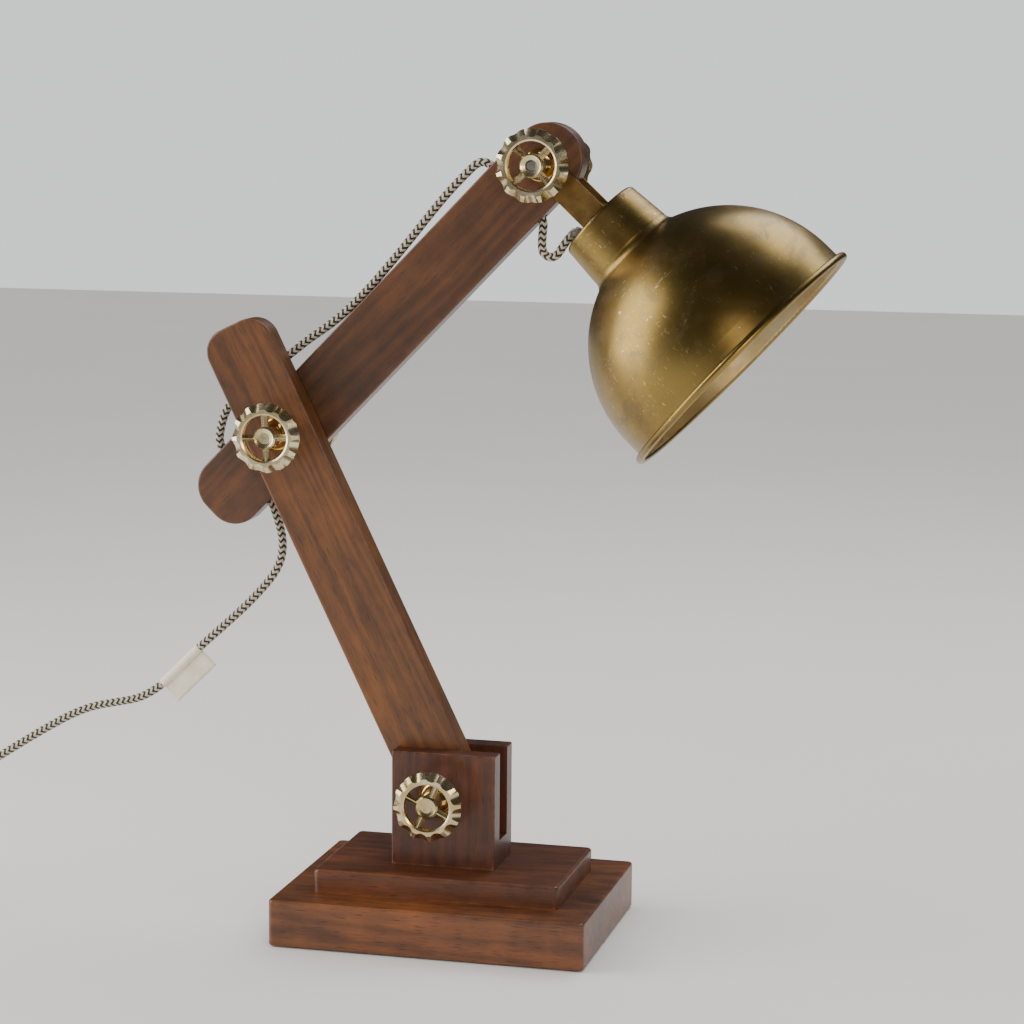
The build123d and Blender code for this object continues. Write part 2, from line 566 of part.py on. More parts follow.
def build_cord():
    """The cord's free stretches, its coil, the tag, the switch and the plug."""
    lengths = [tube(HEAD_LOOP, "cord_head_loop"), tube(ARM_RUN, "cord_arm_run"), tube(DROP, "cord_drop"),
               tube(LEAD, "cord_lead"), tube(COIL_TAIL, "cord_tail")]
    coiled = 2 * pi * COIL_LAYERS * sum(COIL_RADII)
    print(f"cord from the shade to the plug: {sum(lengths) + coiled:.0f} mm, of which coiled {coiled:.0f} mm")

    low, high = min(COIL_RADII) - CORD_RADIUS, max(COIL_RADII) + CORD_RADIUS
    with BuildPart() as cord_coil:
        with BuildSketch(Plane.XY):
            with Locations(COIL_CENTRE):
                Circle(high)
                Circle(low, mode=Mode.SUBTRACT)
        extrude(amount=COIL_LAYERS * 2 * CORD_RADIUS)
        fillet(cord_coil.edges().filter_by(GeomType.CIRCLE), 2.5)
    finish(cord_coil.part, "cord_coil")
    build_plug(COIL_TAIL)
    build_switch()
    build_tag()


def build_plug(tail):
    """A moulded two-blade plug lying on the coil, in line with the end of the cord."""
    end = Vector(*tail[-1])
    heading = end - Vector(*tail[-2])
    plane = Plane(origin=end, x_dir=(heading.X, heading.Y, 0), z_dir=(0, 0, 1))
    with BuildPart() as plug_body:
        with BuildSketch(Plane(origin=plane.origin, x_dir=(0, 0, 1), z_dir=plane.x_dir)):
            RectangleRounded(12, 12, 3.5)
        with BuildSketch(Plane(origin=plane.origin + plane.x_dir * 18, x_dir=(0, 0, 1),
                               z_dir=plane.x_dir)):
            RectangleRounded(17, 24, 4)
        loft()
        with BuildSketch(Plane(origin=plane.origin + plane.x_dir * 18, x_dir=(0, 0, 1),
                               z_dir=plane.x_dir)):
            RectangleRounded(17, 24, 4)
        extrude(amount=12)
        fillet(plug_body.faces().sort_by(Axis(plane.origin, plane.x_dir))[-1].edges(), 1.2)
    finish(plug_body.part, "plug_body")
    with BuildPart() as plug_blades:
        with Locations(plane):
            with Locations((30, 6.35, 0), (30, -6.35, 0)):
                Box(17, 1.6, 6.3, align=(Align.MIN, Align.CENTER, Align.CENTER))
    finish(plug_blades.part, "plug_blades")


SWITCH_MIDDLE = (-547.1, -60.0, 9.0)
SWITCH_LENGTH, SWITCH_WIDTH, SWITCH_HEIGHT = 58.0, 25.0, 17.0
ROCKER_PIVOT_Z = 13.5


def build_switch():
    """The in-line rocker switch on the table: two shell halves, their screw and the rocker."""
    x, y, z = SWITCH_MIDDLE
    inside = switch_inside(x, y, z)
    with BuildPart() as lower_half:
        with BuildSketch(Plane.XY):
            with Locations((x, y)):
                RectangleRounded(SWITCH_WIDTH, SWITCH_LENGTH, 9)
        extrude(amount=z)
        fillet(lower_half.faces().sort_by(Axis.Z)[0].edges(), 2.5)
        add(inside, mode=Mode.SUBTRACT)
    finish(lower_half.part, "switch_lower_half")
    with BuildPart() as upper_half:
        with BuildSketch(Plane.XY.offset(z)):
            with Locations((x, y)):
                RectangleRounded(SWITCH_WIDTH, SWITCH_LENGTH, 9)
        extrude(amount=SWITCH_HEIGHT - z)
        fillet(upper_half.faces().sort_by(Axis.Z)[-1].edges(), 3.0)
        add(inside, mode=Mode.SUBTRACT)
        with BuildSketch(Plane.XY.offset(ROCKER_PIVOT_Z)):
            with Locations((x, y)):
                Rectangle(12.4, 21)
        extrude(amount=10, mode=Mode.SUBTRACT)
    finish(upper_half.part, "switch_upper_half")
    with BuildPart() as rocker:
        with BuildSketch(Plane.YZ.offset(x - 5.8)):
            with BuildLine():
                Polyline((y - 9.6, ROCKER_PIVOT_Z + 0.3), (y - 9.6, 17.2), (y, 18.4), (y + 9.6, 20.0),
                         (y + 9.6, ROCKER_PIVOT_Z + 3.0), (y, ROCKER_PIVOT_Z - 1.0),
                         (y - 9.6, ROCKER_PIVOT_Z + 0.3))
            make_face()
        extrude(amount=11.6)
    finish(rocker.part, "switch_rocker")
    with BuildPart() as switch_screw:
        with Locations((x, y - 22.5, 1.2)):
            Cylinder(2.4, 1.6, align=(Align.CENTER, Align.CENTER, Align.MIN))
    finish(switch_screw.part, "switch_screw")


def switch_inside(x, y, z):
    """The hollow of the switch: the cord's channel, the contact chamber and the screw's recess."""
    with BuildPart() as inside:
        with BuildSketch(Plane(origin=(x, y, z), x_dir=(1, 0, 0), z_dir=(0, 1, 0))):
            Circle(CORD_RADIUS + 0.8)
        extrude(amount=SWITCH_LENGTH, both=True)
        with Locations((x, y, z)):
            Box(15, 24, 9.0)
        with Locations((x, y - 22.5, 0)):
            Cylinder(2.5, 3.0, align=(Align.CENTER, Align.CENTER, Align.MIN))
    return inside.part


def build_tag():
    """The blank paper tag: a wrap round the cord and a flag that hangs beside it."""
    start, end = Vector(*DROP[-2]), Vector(*LEAD[1])
    along = (end - start).normalized()
    origin = start + along * 5.0
    wrap = Plane(origin=origin, x_dir=(0, 1, 0), z_dir=along)
    length, flag, paper = 43.0, 15.5, 0.35
    inner = CORD_RADIUS + 0.25
    with BuildPart() as tag:
        with BuildSketch(wrap):
            Circle(inner + paper)
            with Locations((0, inner + flag / 2)):
                Rectangle(2 * paper, flag)
            Circle(inner, mode=Mode.SUBTRACT)
        extrude(amount=length)
    finish(tag.part, "cord_tag")


build_base()
build_arms()
build_pivots()
build_fork()
build_shade()
build_lampholder()
build_cord()
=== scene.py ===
"""Looks of a swing arm desk lamp: walnut base and arms, brass handwheels, fork and shade, braided cord."""

import logging
import math
from dataclasses import dataclass, field
from enum import Enum
from typing import Any, Dict, List, Optional, Sequence, Tuple, Union

import bmesh
import bpy
from mathutils import Matrix, Vector


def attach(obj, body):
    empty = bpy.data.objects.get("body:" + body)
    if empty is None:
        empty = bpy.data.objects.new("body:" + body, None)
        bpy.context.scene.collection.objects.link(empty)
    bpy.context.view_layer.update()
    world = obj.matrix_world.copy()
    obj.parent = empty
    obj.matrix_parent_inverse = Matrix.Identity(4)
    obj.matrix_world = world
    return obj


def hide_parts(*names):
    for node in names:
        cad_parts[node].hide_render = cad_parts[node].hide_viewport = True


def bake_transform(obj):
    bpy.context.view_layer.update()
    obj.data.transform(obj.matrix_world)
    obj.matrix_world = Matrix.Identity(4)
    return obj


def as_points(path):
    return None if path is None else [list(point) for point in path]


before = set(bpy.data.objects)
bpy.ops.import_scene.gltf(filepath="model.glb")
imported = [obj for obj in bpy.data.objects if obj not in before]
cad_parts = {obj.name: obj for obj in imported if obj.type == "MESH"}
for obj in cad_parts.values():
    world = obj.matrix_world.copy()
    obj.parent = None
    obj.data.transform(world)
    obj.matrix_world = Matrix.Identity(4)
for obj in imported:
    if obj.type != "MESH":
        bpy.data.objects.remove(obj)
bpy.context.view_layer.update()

Point = Tuple[float, float, float]
Colour = Tuple[float, float, float]

LOG = logging.getLogger("lamp")
MM = 0.001

SHOULDER: Point = (-0.006, 0.0, 0.107)
ELBOW: Point = (-0.1363, 0.0, 0.3747)
HEAD: Point = (0.060, 0.0212, 0.5775)
ARM_MIDDLE_Y = 21.2
HEAD_ANGLE = math.radians(-43.0)
LOWER_ANGLE = math.atan2(ELBOW[2] - SHOULDER[2], ELBOW[0] - SHOULDER[0])
UPPER_ANGLE = math.atan2(HEAD[2] - ELBOW[2], HEAD[0] - ELBOW[0])


def colour(text: str) -> Colour:
    """Linear colour from a six-digit sRGB text.

    Args:
        text: Six hexadecimal digits.

    Returns:
        The linear red, green and blue.
    """
    def linear(value: float) -> float:
        """One sRGB channel made linear."""
        return value / 12.92 if value <= 0.04045 else ((value + 0.055) / 1.055) ** 2.4

    return tuple(linear(int(text[i:i + 2], 16) / 255) for i in (0, 2, 4))  # type: ignore[return-value]


# ---------------------------------------------------------------- shader workshop
class Wire:
    """One value socket, with Python's operators standing for Math nodes."""

    def __init__(self, shop: "Shop", socket: bpy.types.NodeSocket) -> None:
        """Keeps the shop and the socket."""
        self.shop = shop
        self.socket = socket

    def __add__(self, other: "Value") -> "Wire":
        """Sum."""
        return self.shop.math("ADD", self, other)

    __radd__ = __add__

    def __sub__(self, other: "Value") -> "Wire":
        """Difference."""
        return self.shop.math("SUBTRACT", self, other)

    def __rsub__(self, other: "Value") -> "Wire":
        """Difference, the wire second."""
        return self.shop.math("SUBTRACT", other, self)

    def __mul__(self, other: "Value") -> "Wire":
        """Product."""
        return self.shop.math("MULTIPLY", self, other)

    __rmul__ = __mul__

    def __truediv__(self, other: "Value") -> "Wire":
        """Quotient."""
        return self.shop.math("DIVIDE", self, other)

    def __pow__(self, other: "Value") -> "Wire":
        """Power."""
        return self.shop.math("POWER", self, other)

    def __neg__(self) -> "Wire":
        """Negative."""
        return self.shop.math("MULTIPLY", self, -1.0)

    def __abs__(self) -> "Wire":
        """Absolute value."""
        return self.shop.math("ABSOLUTE", self)

    def sin(self) -> "Wire":
        """Sine."""
        return self.shop.math("SINE", self)

    def fract(self) -> "Wire":
        """Fractional part."""
        return self.shop.math("FRACT", self)

    def max(self, other: "Value") -> "Wire":
        """Larger of two."""
        return self.shop.math("MAXIMUM", self, other)

    def min(self, other: "Value") -> "Wire":
        """Smaller of two."""
        return self.shop.math("MINIMUM", self, other)

    def step(self, low: float, high: float) -> "Wire":
        """Smooth step from 0 at low to 1 at high; low may be the larger.

        Args:
            low: Value that gives 0.
            high: Value that gives 1.

        Returns:
            The stepped wire.
        """
        node = self.shop.node("ShaderNodeMapRange", {"interpolation_type": "SMOOTHSTEP"},
                              {"Value": self, "From Min": low, "From Max": high})
        return Wire(self.shop, node.outputs[0])


Value = Union[Wire, float]


class Shop:
    """Builds the node tree of one material."""

    def __init__(self, name: str) -> None:
        """Makes an empty material of that name."""
        self.material = bpy.data.materials.new(name)
        self.material.use_nodes = True
        self.tree = self.material.node_tree
        self.tree.nodes.clear()

    def node(self, kind: str, settings: Optional[Dict[str, Any]] = None,
             inputs: Optional[Dict[Union[str, int], Any]] = None) -> bpy.types.Node:
        """Adds any node.

        Args:
            kind: Node type.
            settings: Node properties; "stops" holds a ramp's (place, colour) pairs.
            inputs: Socket name or index to a value, wire or socket.

        Returns:
            The node.
        """
        node = self.tree.nodes.new(kind)
        for key, value in (settings or {}).items():
            if key == "stops":
                elements = node.color_ramp.elements
                while len(elements) < len(value):
                    elements.new(0.5)
                for element, (place, tint) in zip(elements, value):
                    element.position = place
                    element.color = (*tint, 1.0)
            else:
                setattr(node, key, value)
        for key, value in (inputs or {}).items():
            socket = node.inputs[key]
            if isinstance(value, Wire):
                self.tree.links.new(value.socket, socket)
            elif isinstance(value, bpy.types.NodeSocket):
                self.tree.links.new(value, socket)
            else:
                socket.default_value = value
        return node

    def math(self, operation: str, *values: Value) -> Wire:
        """One Math node on one or two values."""
        node = self.node("ShaderNodeMath", {"operation": operation}, dict(enumerate(values)))
        return Wire(self, node.outputs[0])

    def local(self, origin: Point, turn: float) -> bpy.types.NodeSocket:
        """Object coordinates seen from an origin, their X turned up from the row's X by an angle.

        Args:
            origin: Point that becomes zero, in metres.
            turn: Angle of the new X in the XZ plane, in radians.

        Returns:
            The vector socket.
        """
        source = self.node("ShaderNodeTexCoord").outputs["Object"]
        node = self.node("ShaderNodeMapping", {"vector_type": "TEXTURE"},
                         {"Vector": source, "Location": origin, "Rotation": (0.0, -turn, 0.0)})
        return node.outputs[0]

    def split(self, vector: bpy.types.NodeSocket) -> Tuple[Wire, Wire, Wire]:
        """The three numbers of a vector."""
        node = self.node("ShaderNodeSeparateXYZ", None, {0: vector})
        return tuple(Wire(self, out) for out in node.outputs)  # type: ignore[return-value]

    def join(self, x: Value, y: Value, z: Value) -> bpy.types.NodeSocket:
        """A vector of three numbers."""
        return self.node("ShaderNodeCombineXYZ", None, {0: x, 1: y, 2: z}).outputs[0]

    def stretch(self, vector: bpy.types.NodeSocket, factors: Point) -> bpy.types.NodeSocket:
        """A vector times fixed factors."""
        return self.node("ShaderNodeVectorMath", {"operation": "MULTIPLY"}, {0: vector, 1: factors}).outputs[0]

    def noise(self, vector: bpy.types.NodeSocket, scale: float, detail: float = 3.0, rough: float = 0.55,
              bend: float = 0.0) -> Wire:
        """Noise from 0 to 1.

        Args:
            vector: Coordinates, in metres.
            scale: Features per metre.
            detail: Octaves.
            rough: Strength of the octaves.
            bend: Distortion.

        Returns:
            The noise value.
        """
        node = self.node("ShaderNodeTexNoise", None,
                         {"Vector": vector, "Scale": scale, "Detail": detail, "Roughness": rough,
                          "Distortion": bend})
        return Wire(self, node.outputs["Fac"])

    def cells(self, vector: bpy.types.NodeSocket, scale: float) -> Wire:
        """Distance to the nearest of a field of scattered points."""
        node = self.node("ShaderNodeTexVoronoi", {"feature": "F1"}, {"Vector": vector, "Scale": scale})
        return Wire(self, node.outputs["Distance"])

    def blend(self, factor: Value, first: Any, second: Any, mode: str = "MIX") -> bpy.types.NodeSocket:
        """Mixes two colours.

        Args:
            factor: 0 gives the first, 1 the second.
            first: Colour or socket.
            second: Colour or socket.
            mode: Blend mode.

        Returns:
            The colour socket.
        """
        def rgba(value: Any) -> Any:
            """A plain colour with its alpha."""
            return (*value, 1.0) if isinstance(value, tuple) else value

        node = self.node("ShaderNodeMix", {"data_type": "RGBA", "blend_type": mode},
                         {0: factor, 6: rgba(first), 7: rgba(second)})
        return node.outputs[2]

    def bump(self, height: Wire, depth: float, strength: float = 1.0) -> bpy.types.NodeSocket:
        """A Bump normal from a height of 0 to 1 and its depth in metres."""
        node = self.node("ShaderNodeBump", None, {"Height": height, "Distance": depth, "Strength": strength})
        return node.outputs[0]

    def finish(self, inputs: Dict[str, Any]) -> bpy.types.Material:
        """Adds the Principled shader and the output.

        Args:
            inputs: Principled sockets by name.

        Returns:
            The finished material.
        """
        shader = self.node("ShaderNodeBsdfPrincipled", None, inputs)
        self.node("ShaderNodeOutputMaterial", None, {"Surface": shader.outputs[0]})
        return self.material


# ---------------------------------------------------------------- finishes
@dataclass(frozen=True)
class Walnut:
    """Satin lacquered walnut: grain along a board, pores, worn pale edges and dark soiling."""

    origin: Point
    turn: float
    half: Point
    dark: str = "32190d"
    light: str = "7a4d2e"
    tone: float = 0.0
    figure: float = 1.0
    ends: Tuple[float, float] = (0.004, 0.004)
    seed: float = 0.0
    worn: str = "7d4c2d"

    def make(self, name: str) -> bpy.types.Material:
        """Builds the material.

        Args:
            name: Material name.

        Returns:
            The material.
        """
        shop = Shop(name)
        place = shop.local(self.origin, self.turn)
        x, y, z = shop.split(place)
        shifted = shop.node("ShaderNodeVectorMath", {"operation": "ADD"},
                            {0: place, 1: (self.seed, 0.37 * self.seed, 0.71 * self.seed)}).outputs[0]
        along = shop.stretch(shifted, (0.055, 1.0, 1.0))
        wander = shop.noise(shop.stretch(shifted, (0.12, 1.0, 1.0)), 28.0, 2.0, 0.5)
        _, ring_y, ring_z = shop.split(along)
        rings = ((ring_z * 165.0 + ring_y * 60.0 + wander * (11.0 * self.figure)) * math.tau * 0.5).sin()
        rings = rings * 0.5 + 0.5
        streaks = shop.noise(along, 420.0, 4.0, 0.62, 0.4)
        fine = shop.noise(shop.stretch(shifted, (0.03, 1.0, 1.0)), 2300.0, 2.0, 0.6)
        cloud = shop.noise(shop.stretch(shifted, (0.4, 1.0, 1.0)), 17.0, 3.0, 0.55)
        flecks = shop.noise(shop.stretch(shifted, (0.045, 1.0, 1.0)), 1500.0, 1.0, 0.5)
        pores = flecks.step(0.60, 0.70)
        blotch = shop.noise(shop.stretch(shifted, (0.7, 1.0, 1.0)), 46.0, 4.0, 0.6)
        tone = (rings * 0.14 + streaks * 0.34 + fine * 0.22 + cloud * 0.66 + blotch * 0.56
                + (self.tone - 0.42))
        ramp = shop.node("ShaderNodeValToRGB", {"stops": [
            (0.18, colour(self.dark)), (0.50, self._middle(0.42)), (0.84, colour(self.light))]}, {0: tone})
        base = shop.blend(pores * 0.66, ramp.outputs[0], colour("1c0d05"))
        edge = self._edge(shop, x, y, z)
        rub = shop.noise(shifted, 95.0, 4.0, 0.7)
        chips = shop.noise(shifted, 620.0, 3.0, 0.7)
        wear = edge.step(0.0012, 0.0003) * (rub * 0.9 + chips * 0.9 - 0.52).step(0.16, 0.62)
        soft = edge.step(0.0065, 0.0008) * rub.step(0.42, 0.78)
        base = shop.blend(soft * 0.20, base, colour(self.worn))
        base = shop.blend(wear * 0.62, base, colour(self.worn))
        soil = shop.noise(shifted, 42.0, 5.0, 0.68).step(0.60, 0.74)
        base = shop.blend(soil * 0.24, base, colour("1d100a"))
        scratches = shop.noise(shop.stretch(shifted, (0.3, 1.0, 2.0)), 310.0, 2.0, 0.5, 2.2).step(0.705, 0.735)
        base = shop.blend(scratches * 0.14, base, colour("7a5438"))
        rough = 0.36 + cloud * 0.12 + pores * 0.14 + wear * 0.22 + rub * 0.10
        height = streaks * 0.30 + fine * 0.22 - pores * 0.55 - wear * 0.35 - scratches * 0.15
        return shop.finish({"Base Color": base, "Roughness": rough, "Normal": shop.bump(height, 0.00022, 0.55),
                            "Specular IOR Level": 0.48, "Coat Weight": 0.20 + (1.0 - wear) * 0.16,
                            "Coat Roughness": 0.24})

    def _middle(self, share: float) -> Colour:
        """A colour between the dark and the light one."""
        dark, light = colour(self.dark), colour(self.light)
        return tuple(a + (b - a) * share for a, b in zip(dark, light))  # type: ignore[return-value]

    def _edge(self, shop: Shop, x: Wire, y: Wire, z: Wire) -> Wire:
        """Distance to the board's nearest edge: the second nearest of its faces.

        Args:
            shop: The material's shop.
            x: Place along the grain.
            y: Place through the board's second size.
            z: Place through the board's third size.

        Returns:
            The distance in metres.
        """
        half_x, half_y, half_z = self.half
        radius = max(self.ends)
        right = (x * 4000.0).step(-1.0, 1.0)
        corner = self.ends[0] + right * (self.ends[1] - self.ends[0]) if self.ends[0] != self.ends[1] else radius
        across_x = (abs(x) - half_x) + corner
        across_z = (abs(z) - half_z) + corner
        out_x, out_z = across_x.max(0.0), across_z.max(0.0)
        length = shop.math("SQRT", out_x * out_x + out_z * out_z)
        outline = -(length + across_x.max(across_z).min(0.0) - corner)
        face = half_y - abs(y)
        return outline.max(face)


class Metal(Enum):
    """The metals of the lamp: (dark tarnish, body, bright, roughness, patina)."""

    FORK_BRASS = ("3d3020", "7c6238", "b8965a", 0.36, 1.0)
    CAST_BRASS = ("4a3b26", "c7b283", "efe3bf", 0.27, 0.9)
    POLISHED_BRASS = ("8a6428", "d8a648", "f4d488", 0.14, 0.35)
    PRESSED_BRASS = ("6b5326", "b9924a", "dcb873", 0.30, 0.5)
    ZINC = ("4f4e4b", "9b9993", "c4c2bc", 0.36, 0.5)


@dataclass(frozen=True)
class MetalFinish:
    """A worn metal with brushing about an axis, smudges, specks, scratches and tarnish."""

    metal: Metal
    origin: Point = (0.0, 0.0, 0.0)
    turn: float = 0.0
    brushed: float = 0.5
    grime: float = 0.5
    seed: float = 0.0

    def make(self, name: str) -> bpy.types.Material:
        """Builds the material.

        Args:
            name: Material name.

        Returns:
            The material.
        """
        dark, body, bright, rough, patina = self.metal.value
        shop = Shop(name)
        place = shop.local(self.origin, self.turn)
        shifted = shop.node("ShaderNodeVectorMath", {"operation": "ADD"},
                            {0: place, 1: (self.seed, 0.6 * self.seed, 0.3 * self.seed)}).outputs[0]
        x, y, z = shop.split(place)
        radius = shop.math("SQRT", y * y + z * z)
        spun = shop.join(x, radius, 0.0)
        lines = shop.noise(spun, 2600.0, 3.0, 0.7)
        bands = shop.noise(spun, 190.0, 3.0, 0.6)
        smudge = shop.noise(shifted, 26.0, 5.0, 0.62, 0.6)
        stain = shop.noise(shifted, 70.0, 5.0, 0.68, 0.8).step(0.52, 0.70)
        specks = shop.cells(shifted, 420.0).step(0.10, 0.04) * shop.noise(shifted, 60.0, 2.0).step(0.50, 0.64)
        scratch = shop.noise(shop.stretch(shifted, (1.0, 1.0, 0.16)), 260.0, 2.0, 0.5, 2.6).step(0.68, 0.70)
        fine = shop.noise(shifted, 900.0, 3.0, 0.6)
        tint = shop.blend((smudge * 1.2 - 0.1).step(0.30, 0.75), colour(body), colour(bright))
        tint = shop.blend(bands * (0.30 * self.brushed), tint, colour(dark))
        tint = shop.blend(stain * (0.42 * patina), tint, colour(dark))
        tint = shop.blend(specks * (0.65 * patina), tint, colour("1c140c"))
        tint = shop.blend(scratch * 0.30, tint, colour(bright))
        uneven = smudge * 0.16 + stain * (0.16 * self.grime) + lines * (0.10 * self.brushed) + fine * 0.05
        height = lines * self.brushed + fine * 0.35 + scratch * 0.8 - specks * 0.5
        return shop.finish({"Base Color": tint, "Metallic": 1.0, "Roughness": uneven + (rough - 0.12),
                            "Normal": shop.bump(height, 0.00004, 0.45)})


@dataclass(frozen=True)
class ShadeFinish:
    """Spun brass of the shade and its neck: satin and stained outside, pale and bright inside."""

    outside: str = "8a7542"
    stained: str = "5f5853"
    warm: str = "9a8048"
    inside: str = "d9cba6"
    dome_centre: float = 0.1894
    dome_radius: float = 0.1015
    neck: bool = False

    def make(self, name: str) -> bpy.types.Material:
        """Builds the material.

        Args:
            name: Material name.

        Returns:
            The material.
        """
        shop = Shop(name)
        place = shop.local(HEAD, HEAD_ANGLE)
        x, y, z = shop.split(place)
        radius = shop.math("SQRT", y * y + z * z)
        spin = shop.math("ARCTAN2", y, z)
        wrapped = shop.join(x, radius, spin * 0.004)
        lines = shop.noise(wrapped, 3100.0, 3.0, 0.75)
        bands = shop.noise(shop.join(x, radius, 0.0), 230.0, 3.0, 0.6)
        smudge = shop.noise(place, 24.0, 6.0, 0.60, 0.5)
        wash = shop.noise(shop.stretch(place, (1.0, 0.45, 0.8)), 58.0, 6.0, 0.66, 1.1)
        stain = (wash * 0.7 + smudge * 0.5).step(0.58, 0.76)
        bloom = shop.noise(place, 150.0, 5.0, 0.7, 0.4).step(0.50, 0.72)
        specks = shop.cells(place, 330.0).step(0.11, 0.05) * shop.noise(place, 46.0, 3.0).step(0.46, 0.62)
        pits = shop.noise(place, 1500.0, 2.0, 0.6).step(0.66, 0.76)
        scratch = (shop.noise(shop.stretch(place, (0.25, 1.0, 1.3)), 230.0, 2.0, 0.5, 3.0).step(0.690, 0.705)
                   + shop.noise(shop.stretch(place, (1.4, 0.8, 0.22)), 190.0, 2.0, 0.5, 2.4).step(0.700, 0.712))
        tint = shop.blend(smudge.step(0.34, 0.70), colour(self.outside), colour(self.warm))
        tint = shop.blend(stain * 0.40, tint, colour(self.stained))
        tint = shop.blend(bloom * 0.10, tint, colour("8d7f73"))
        tint = shop.blend(bands * 0.16, tint, colour("6c532c"))
        tint = shop.blend(specks * 0.6, tint, colour("241a10"))
        tint = shop.blend(scratch.min(1.0) * 0.45, tint, colour("e6d3a6"))
        brushed = 0.9 if self.neck else 0.35
        uneven = 0.25 + smudge * 0.10 + stain * 0.08 + bloom * 0.03 + pits * 0.06 + lines * (0.12 * brushed)
        height = lines * brushed + pits * -0.4 + scratch * -0.6 + bloom * 0.1 + specks * 0.3
        if not self.neck:
            past = (x - self.dome_centre).min(0.0)
            shell = shop.math("SQRT", past * past + radius * radius)
            hollow = shell.step(self.dome_radius + 0.0002, self.dome_radius - 0.0002)
            lining = shop.blend(smudge.step(0.3, 0.7), colour(self.inside), colour("c2ab7c"))
            lining = shop.blend(specks * 0.4, lining, colour("6a5836"))
            tint = shop.blend(hollow, tint, lining)
            uneven = uneven + hollow * 0.10
        return shop.finish({"Base Color": tint, "Metallic": 1.0, "Roughness": uneven,
                            "Normal": shop.bump(height, 0.000025, 0.35)})


@dataclass(frozen=True)
class BraidFinish:
    """Woven cord cover: two strand directions, black with a cream chevron, from the cord's own map."""

    pitch: float = 0.0046
    zigzags: float = 4.0
    strands: float = 8.0
    strand_pitch: float = 0.0078
    dark: str = "17130f"
    cream: str = "e4dcc8"
    frayed: float = 0.0

    def make(self, name: str) -> bpy.types.Material:
        """Builds the material; the map's U is metres along the cord and V turns round it."""
        shop = Shop(name)
        run, turn, _ = shop.split(shop.node("ShaderNodeUVMap", {"uv_map": "along"}).outputs[0])
        worn = shop.noise(shop.join(run, turn * 0.02, 0.0), 120.0, 4.0, 0.65)
        fuzz = shop.noise(shop.join(run, turn * 0.02, 0.0), 2600.0, 3.0, 0.7)
        left_strands = (run / self.strand_pitch * self.strands + turn * self.strands).fract()
        right_strands = (run / self.strand_pitch * self.strands - turn * self.strands).fract()
        over = (run / self.strand_pitch * self.strands * math.pi + turn * math.pi * self.strands).sin()
        over = over.step(-0.15, 0.15)
        left_round = 1.0 - abs(left_strands - 0.5) * 2.0
        right_round = 1.0 - abs(right_strands - 0.5) * 2.0
        lift = left_round * over + right_round * (1.0 - over)
        zigzag = abs((turn * self.zigzags).fract() - 0.5) * 2.0
        phase = (run / self.pitch + zigzag * 0.5).fract()
        pale = abs(phase - 0.5).step(0.275, 0.225)
        thread = shop.blend(fuzz, colour(self.cream), colour("a08f6c"))
        ground = shop.blend(fuzz, colour(self.dark), colour("2e2820"))
        tint = shop.blend(pale, ground, thread)
        tint = shop.blend(worn.step(0.56, 0.78) * 0.18, tint, colour("6f665a"))
        # painted shade: the braid is darkened where the strands dip, in the crevices between them
        tint = shop.blend((1.0 - lift.step(0.0, 0.35)) * 0.30, tint, colour("0b0907"))
        if self.frayed:
            bare = (run + worn * 0.004).step(self.frayed + 0.004, self.frayed)
            tint = shop.blend(bare * 0.85, tint, shop.blend(fuzz, colour("8d8880"), colour("4b4843")))
        height = lift * 0.8 + fuzz * 0.35
        return shop.finish({"Base Color": tint, "Roughness": 0.72 + fuzz * 0.2,
                            "Normal": shop.bump(height, 0.0005, 0.7), "Sheen Weight": 0.25,
                            "Sheen Roughness": 0.5})


@dataclass(frozen=True)
class SoftFinish:
    """Felt, paper, fibre or moulded phenolic: a mottled, slightly rough surface."""

    low: str
    high: str
    rough: float
    grain: float
    depth: float = 0.0001
    blotch: float = 60.0
    coat: float = 0.0
    sheen: float = 0.0
    marks: str = "3a3028"
    marked: float = 0.25

    def make(self, name: str) -> bpy.types.Material:
        """Builds the material."""
        shop = Shop(name)
        place = shop.node("ShaderNodeTexCoord").outputs["Object"]
        grain = shop.noise(place, self.grain, 4.0, 0.65)
        blotch = shop.noise(place, self.blotch, 4.0, 0.6, 0.5)
        spots = shop.noise(place, self.blotch * 6.0, 3.0, 0.7).step(0.62, 0.76)
        tint = shop.blend((grain * 0.6 + blotch * 0.6 - 0.1).step(0.25, 0.75), colour(self.low), colour(self.high))
        tint = shop.blend(spots * self.marked, tint, colour(self.marks))
        rough = grain * 0.14 + blotch * 0.10 + (self.rough - 0.12)
        return shop.finish({"Base Color": tint, "Roughness": rough,
                            "Normal": shop.bump(grain + blotch * 0.5, self.depth, 0.6),
                            "Coat Weight": self.coat, "Sheen Weight": self.sheen})


# ---------------------------------------------------------------- shared making
def dress(material: bpy.types.Material, *nodes: str) -> None:
    """Gives CAD nodes one material.

    Args:
        material: The material.
        nodes: Node names.
    """
    for name in nodes:
        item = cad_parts[name]
        item.data.materials.clear()
        item.data.materials.append(material)
        LOG.info("dressed %s with %s", name, material.name)


def piece(name: str, verts: Sequence[Sequence[float]], faces: Sequence[Sequence[int]],
          material: bpy.types.Material) -> bpy.types.Object:
    """A smooth mesh piece standing at the origin.

    Args:
        name: Piece name.
        verts: Corners in metres.
        faces: Corner numbers of each face.
        material: Its material.

    Returns:
        The object.
    """
    mesh = bpy.data.meshes.new(name)
    mesh.from_pydata([tuple(v) for v in verts], [], [tuple(f) for f in faces])
    mesh.update()
    for polygon in mesh.polygons:
        polygon.use_smooth = True
    mesh.materials.append(material)
    item = bpy.data.objects.new(name, mesh)
    bpy.context.scene.collection.objects.link(item)
    return item


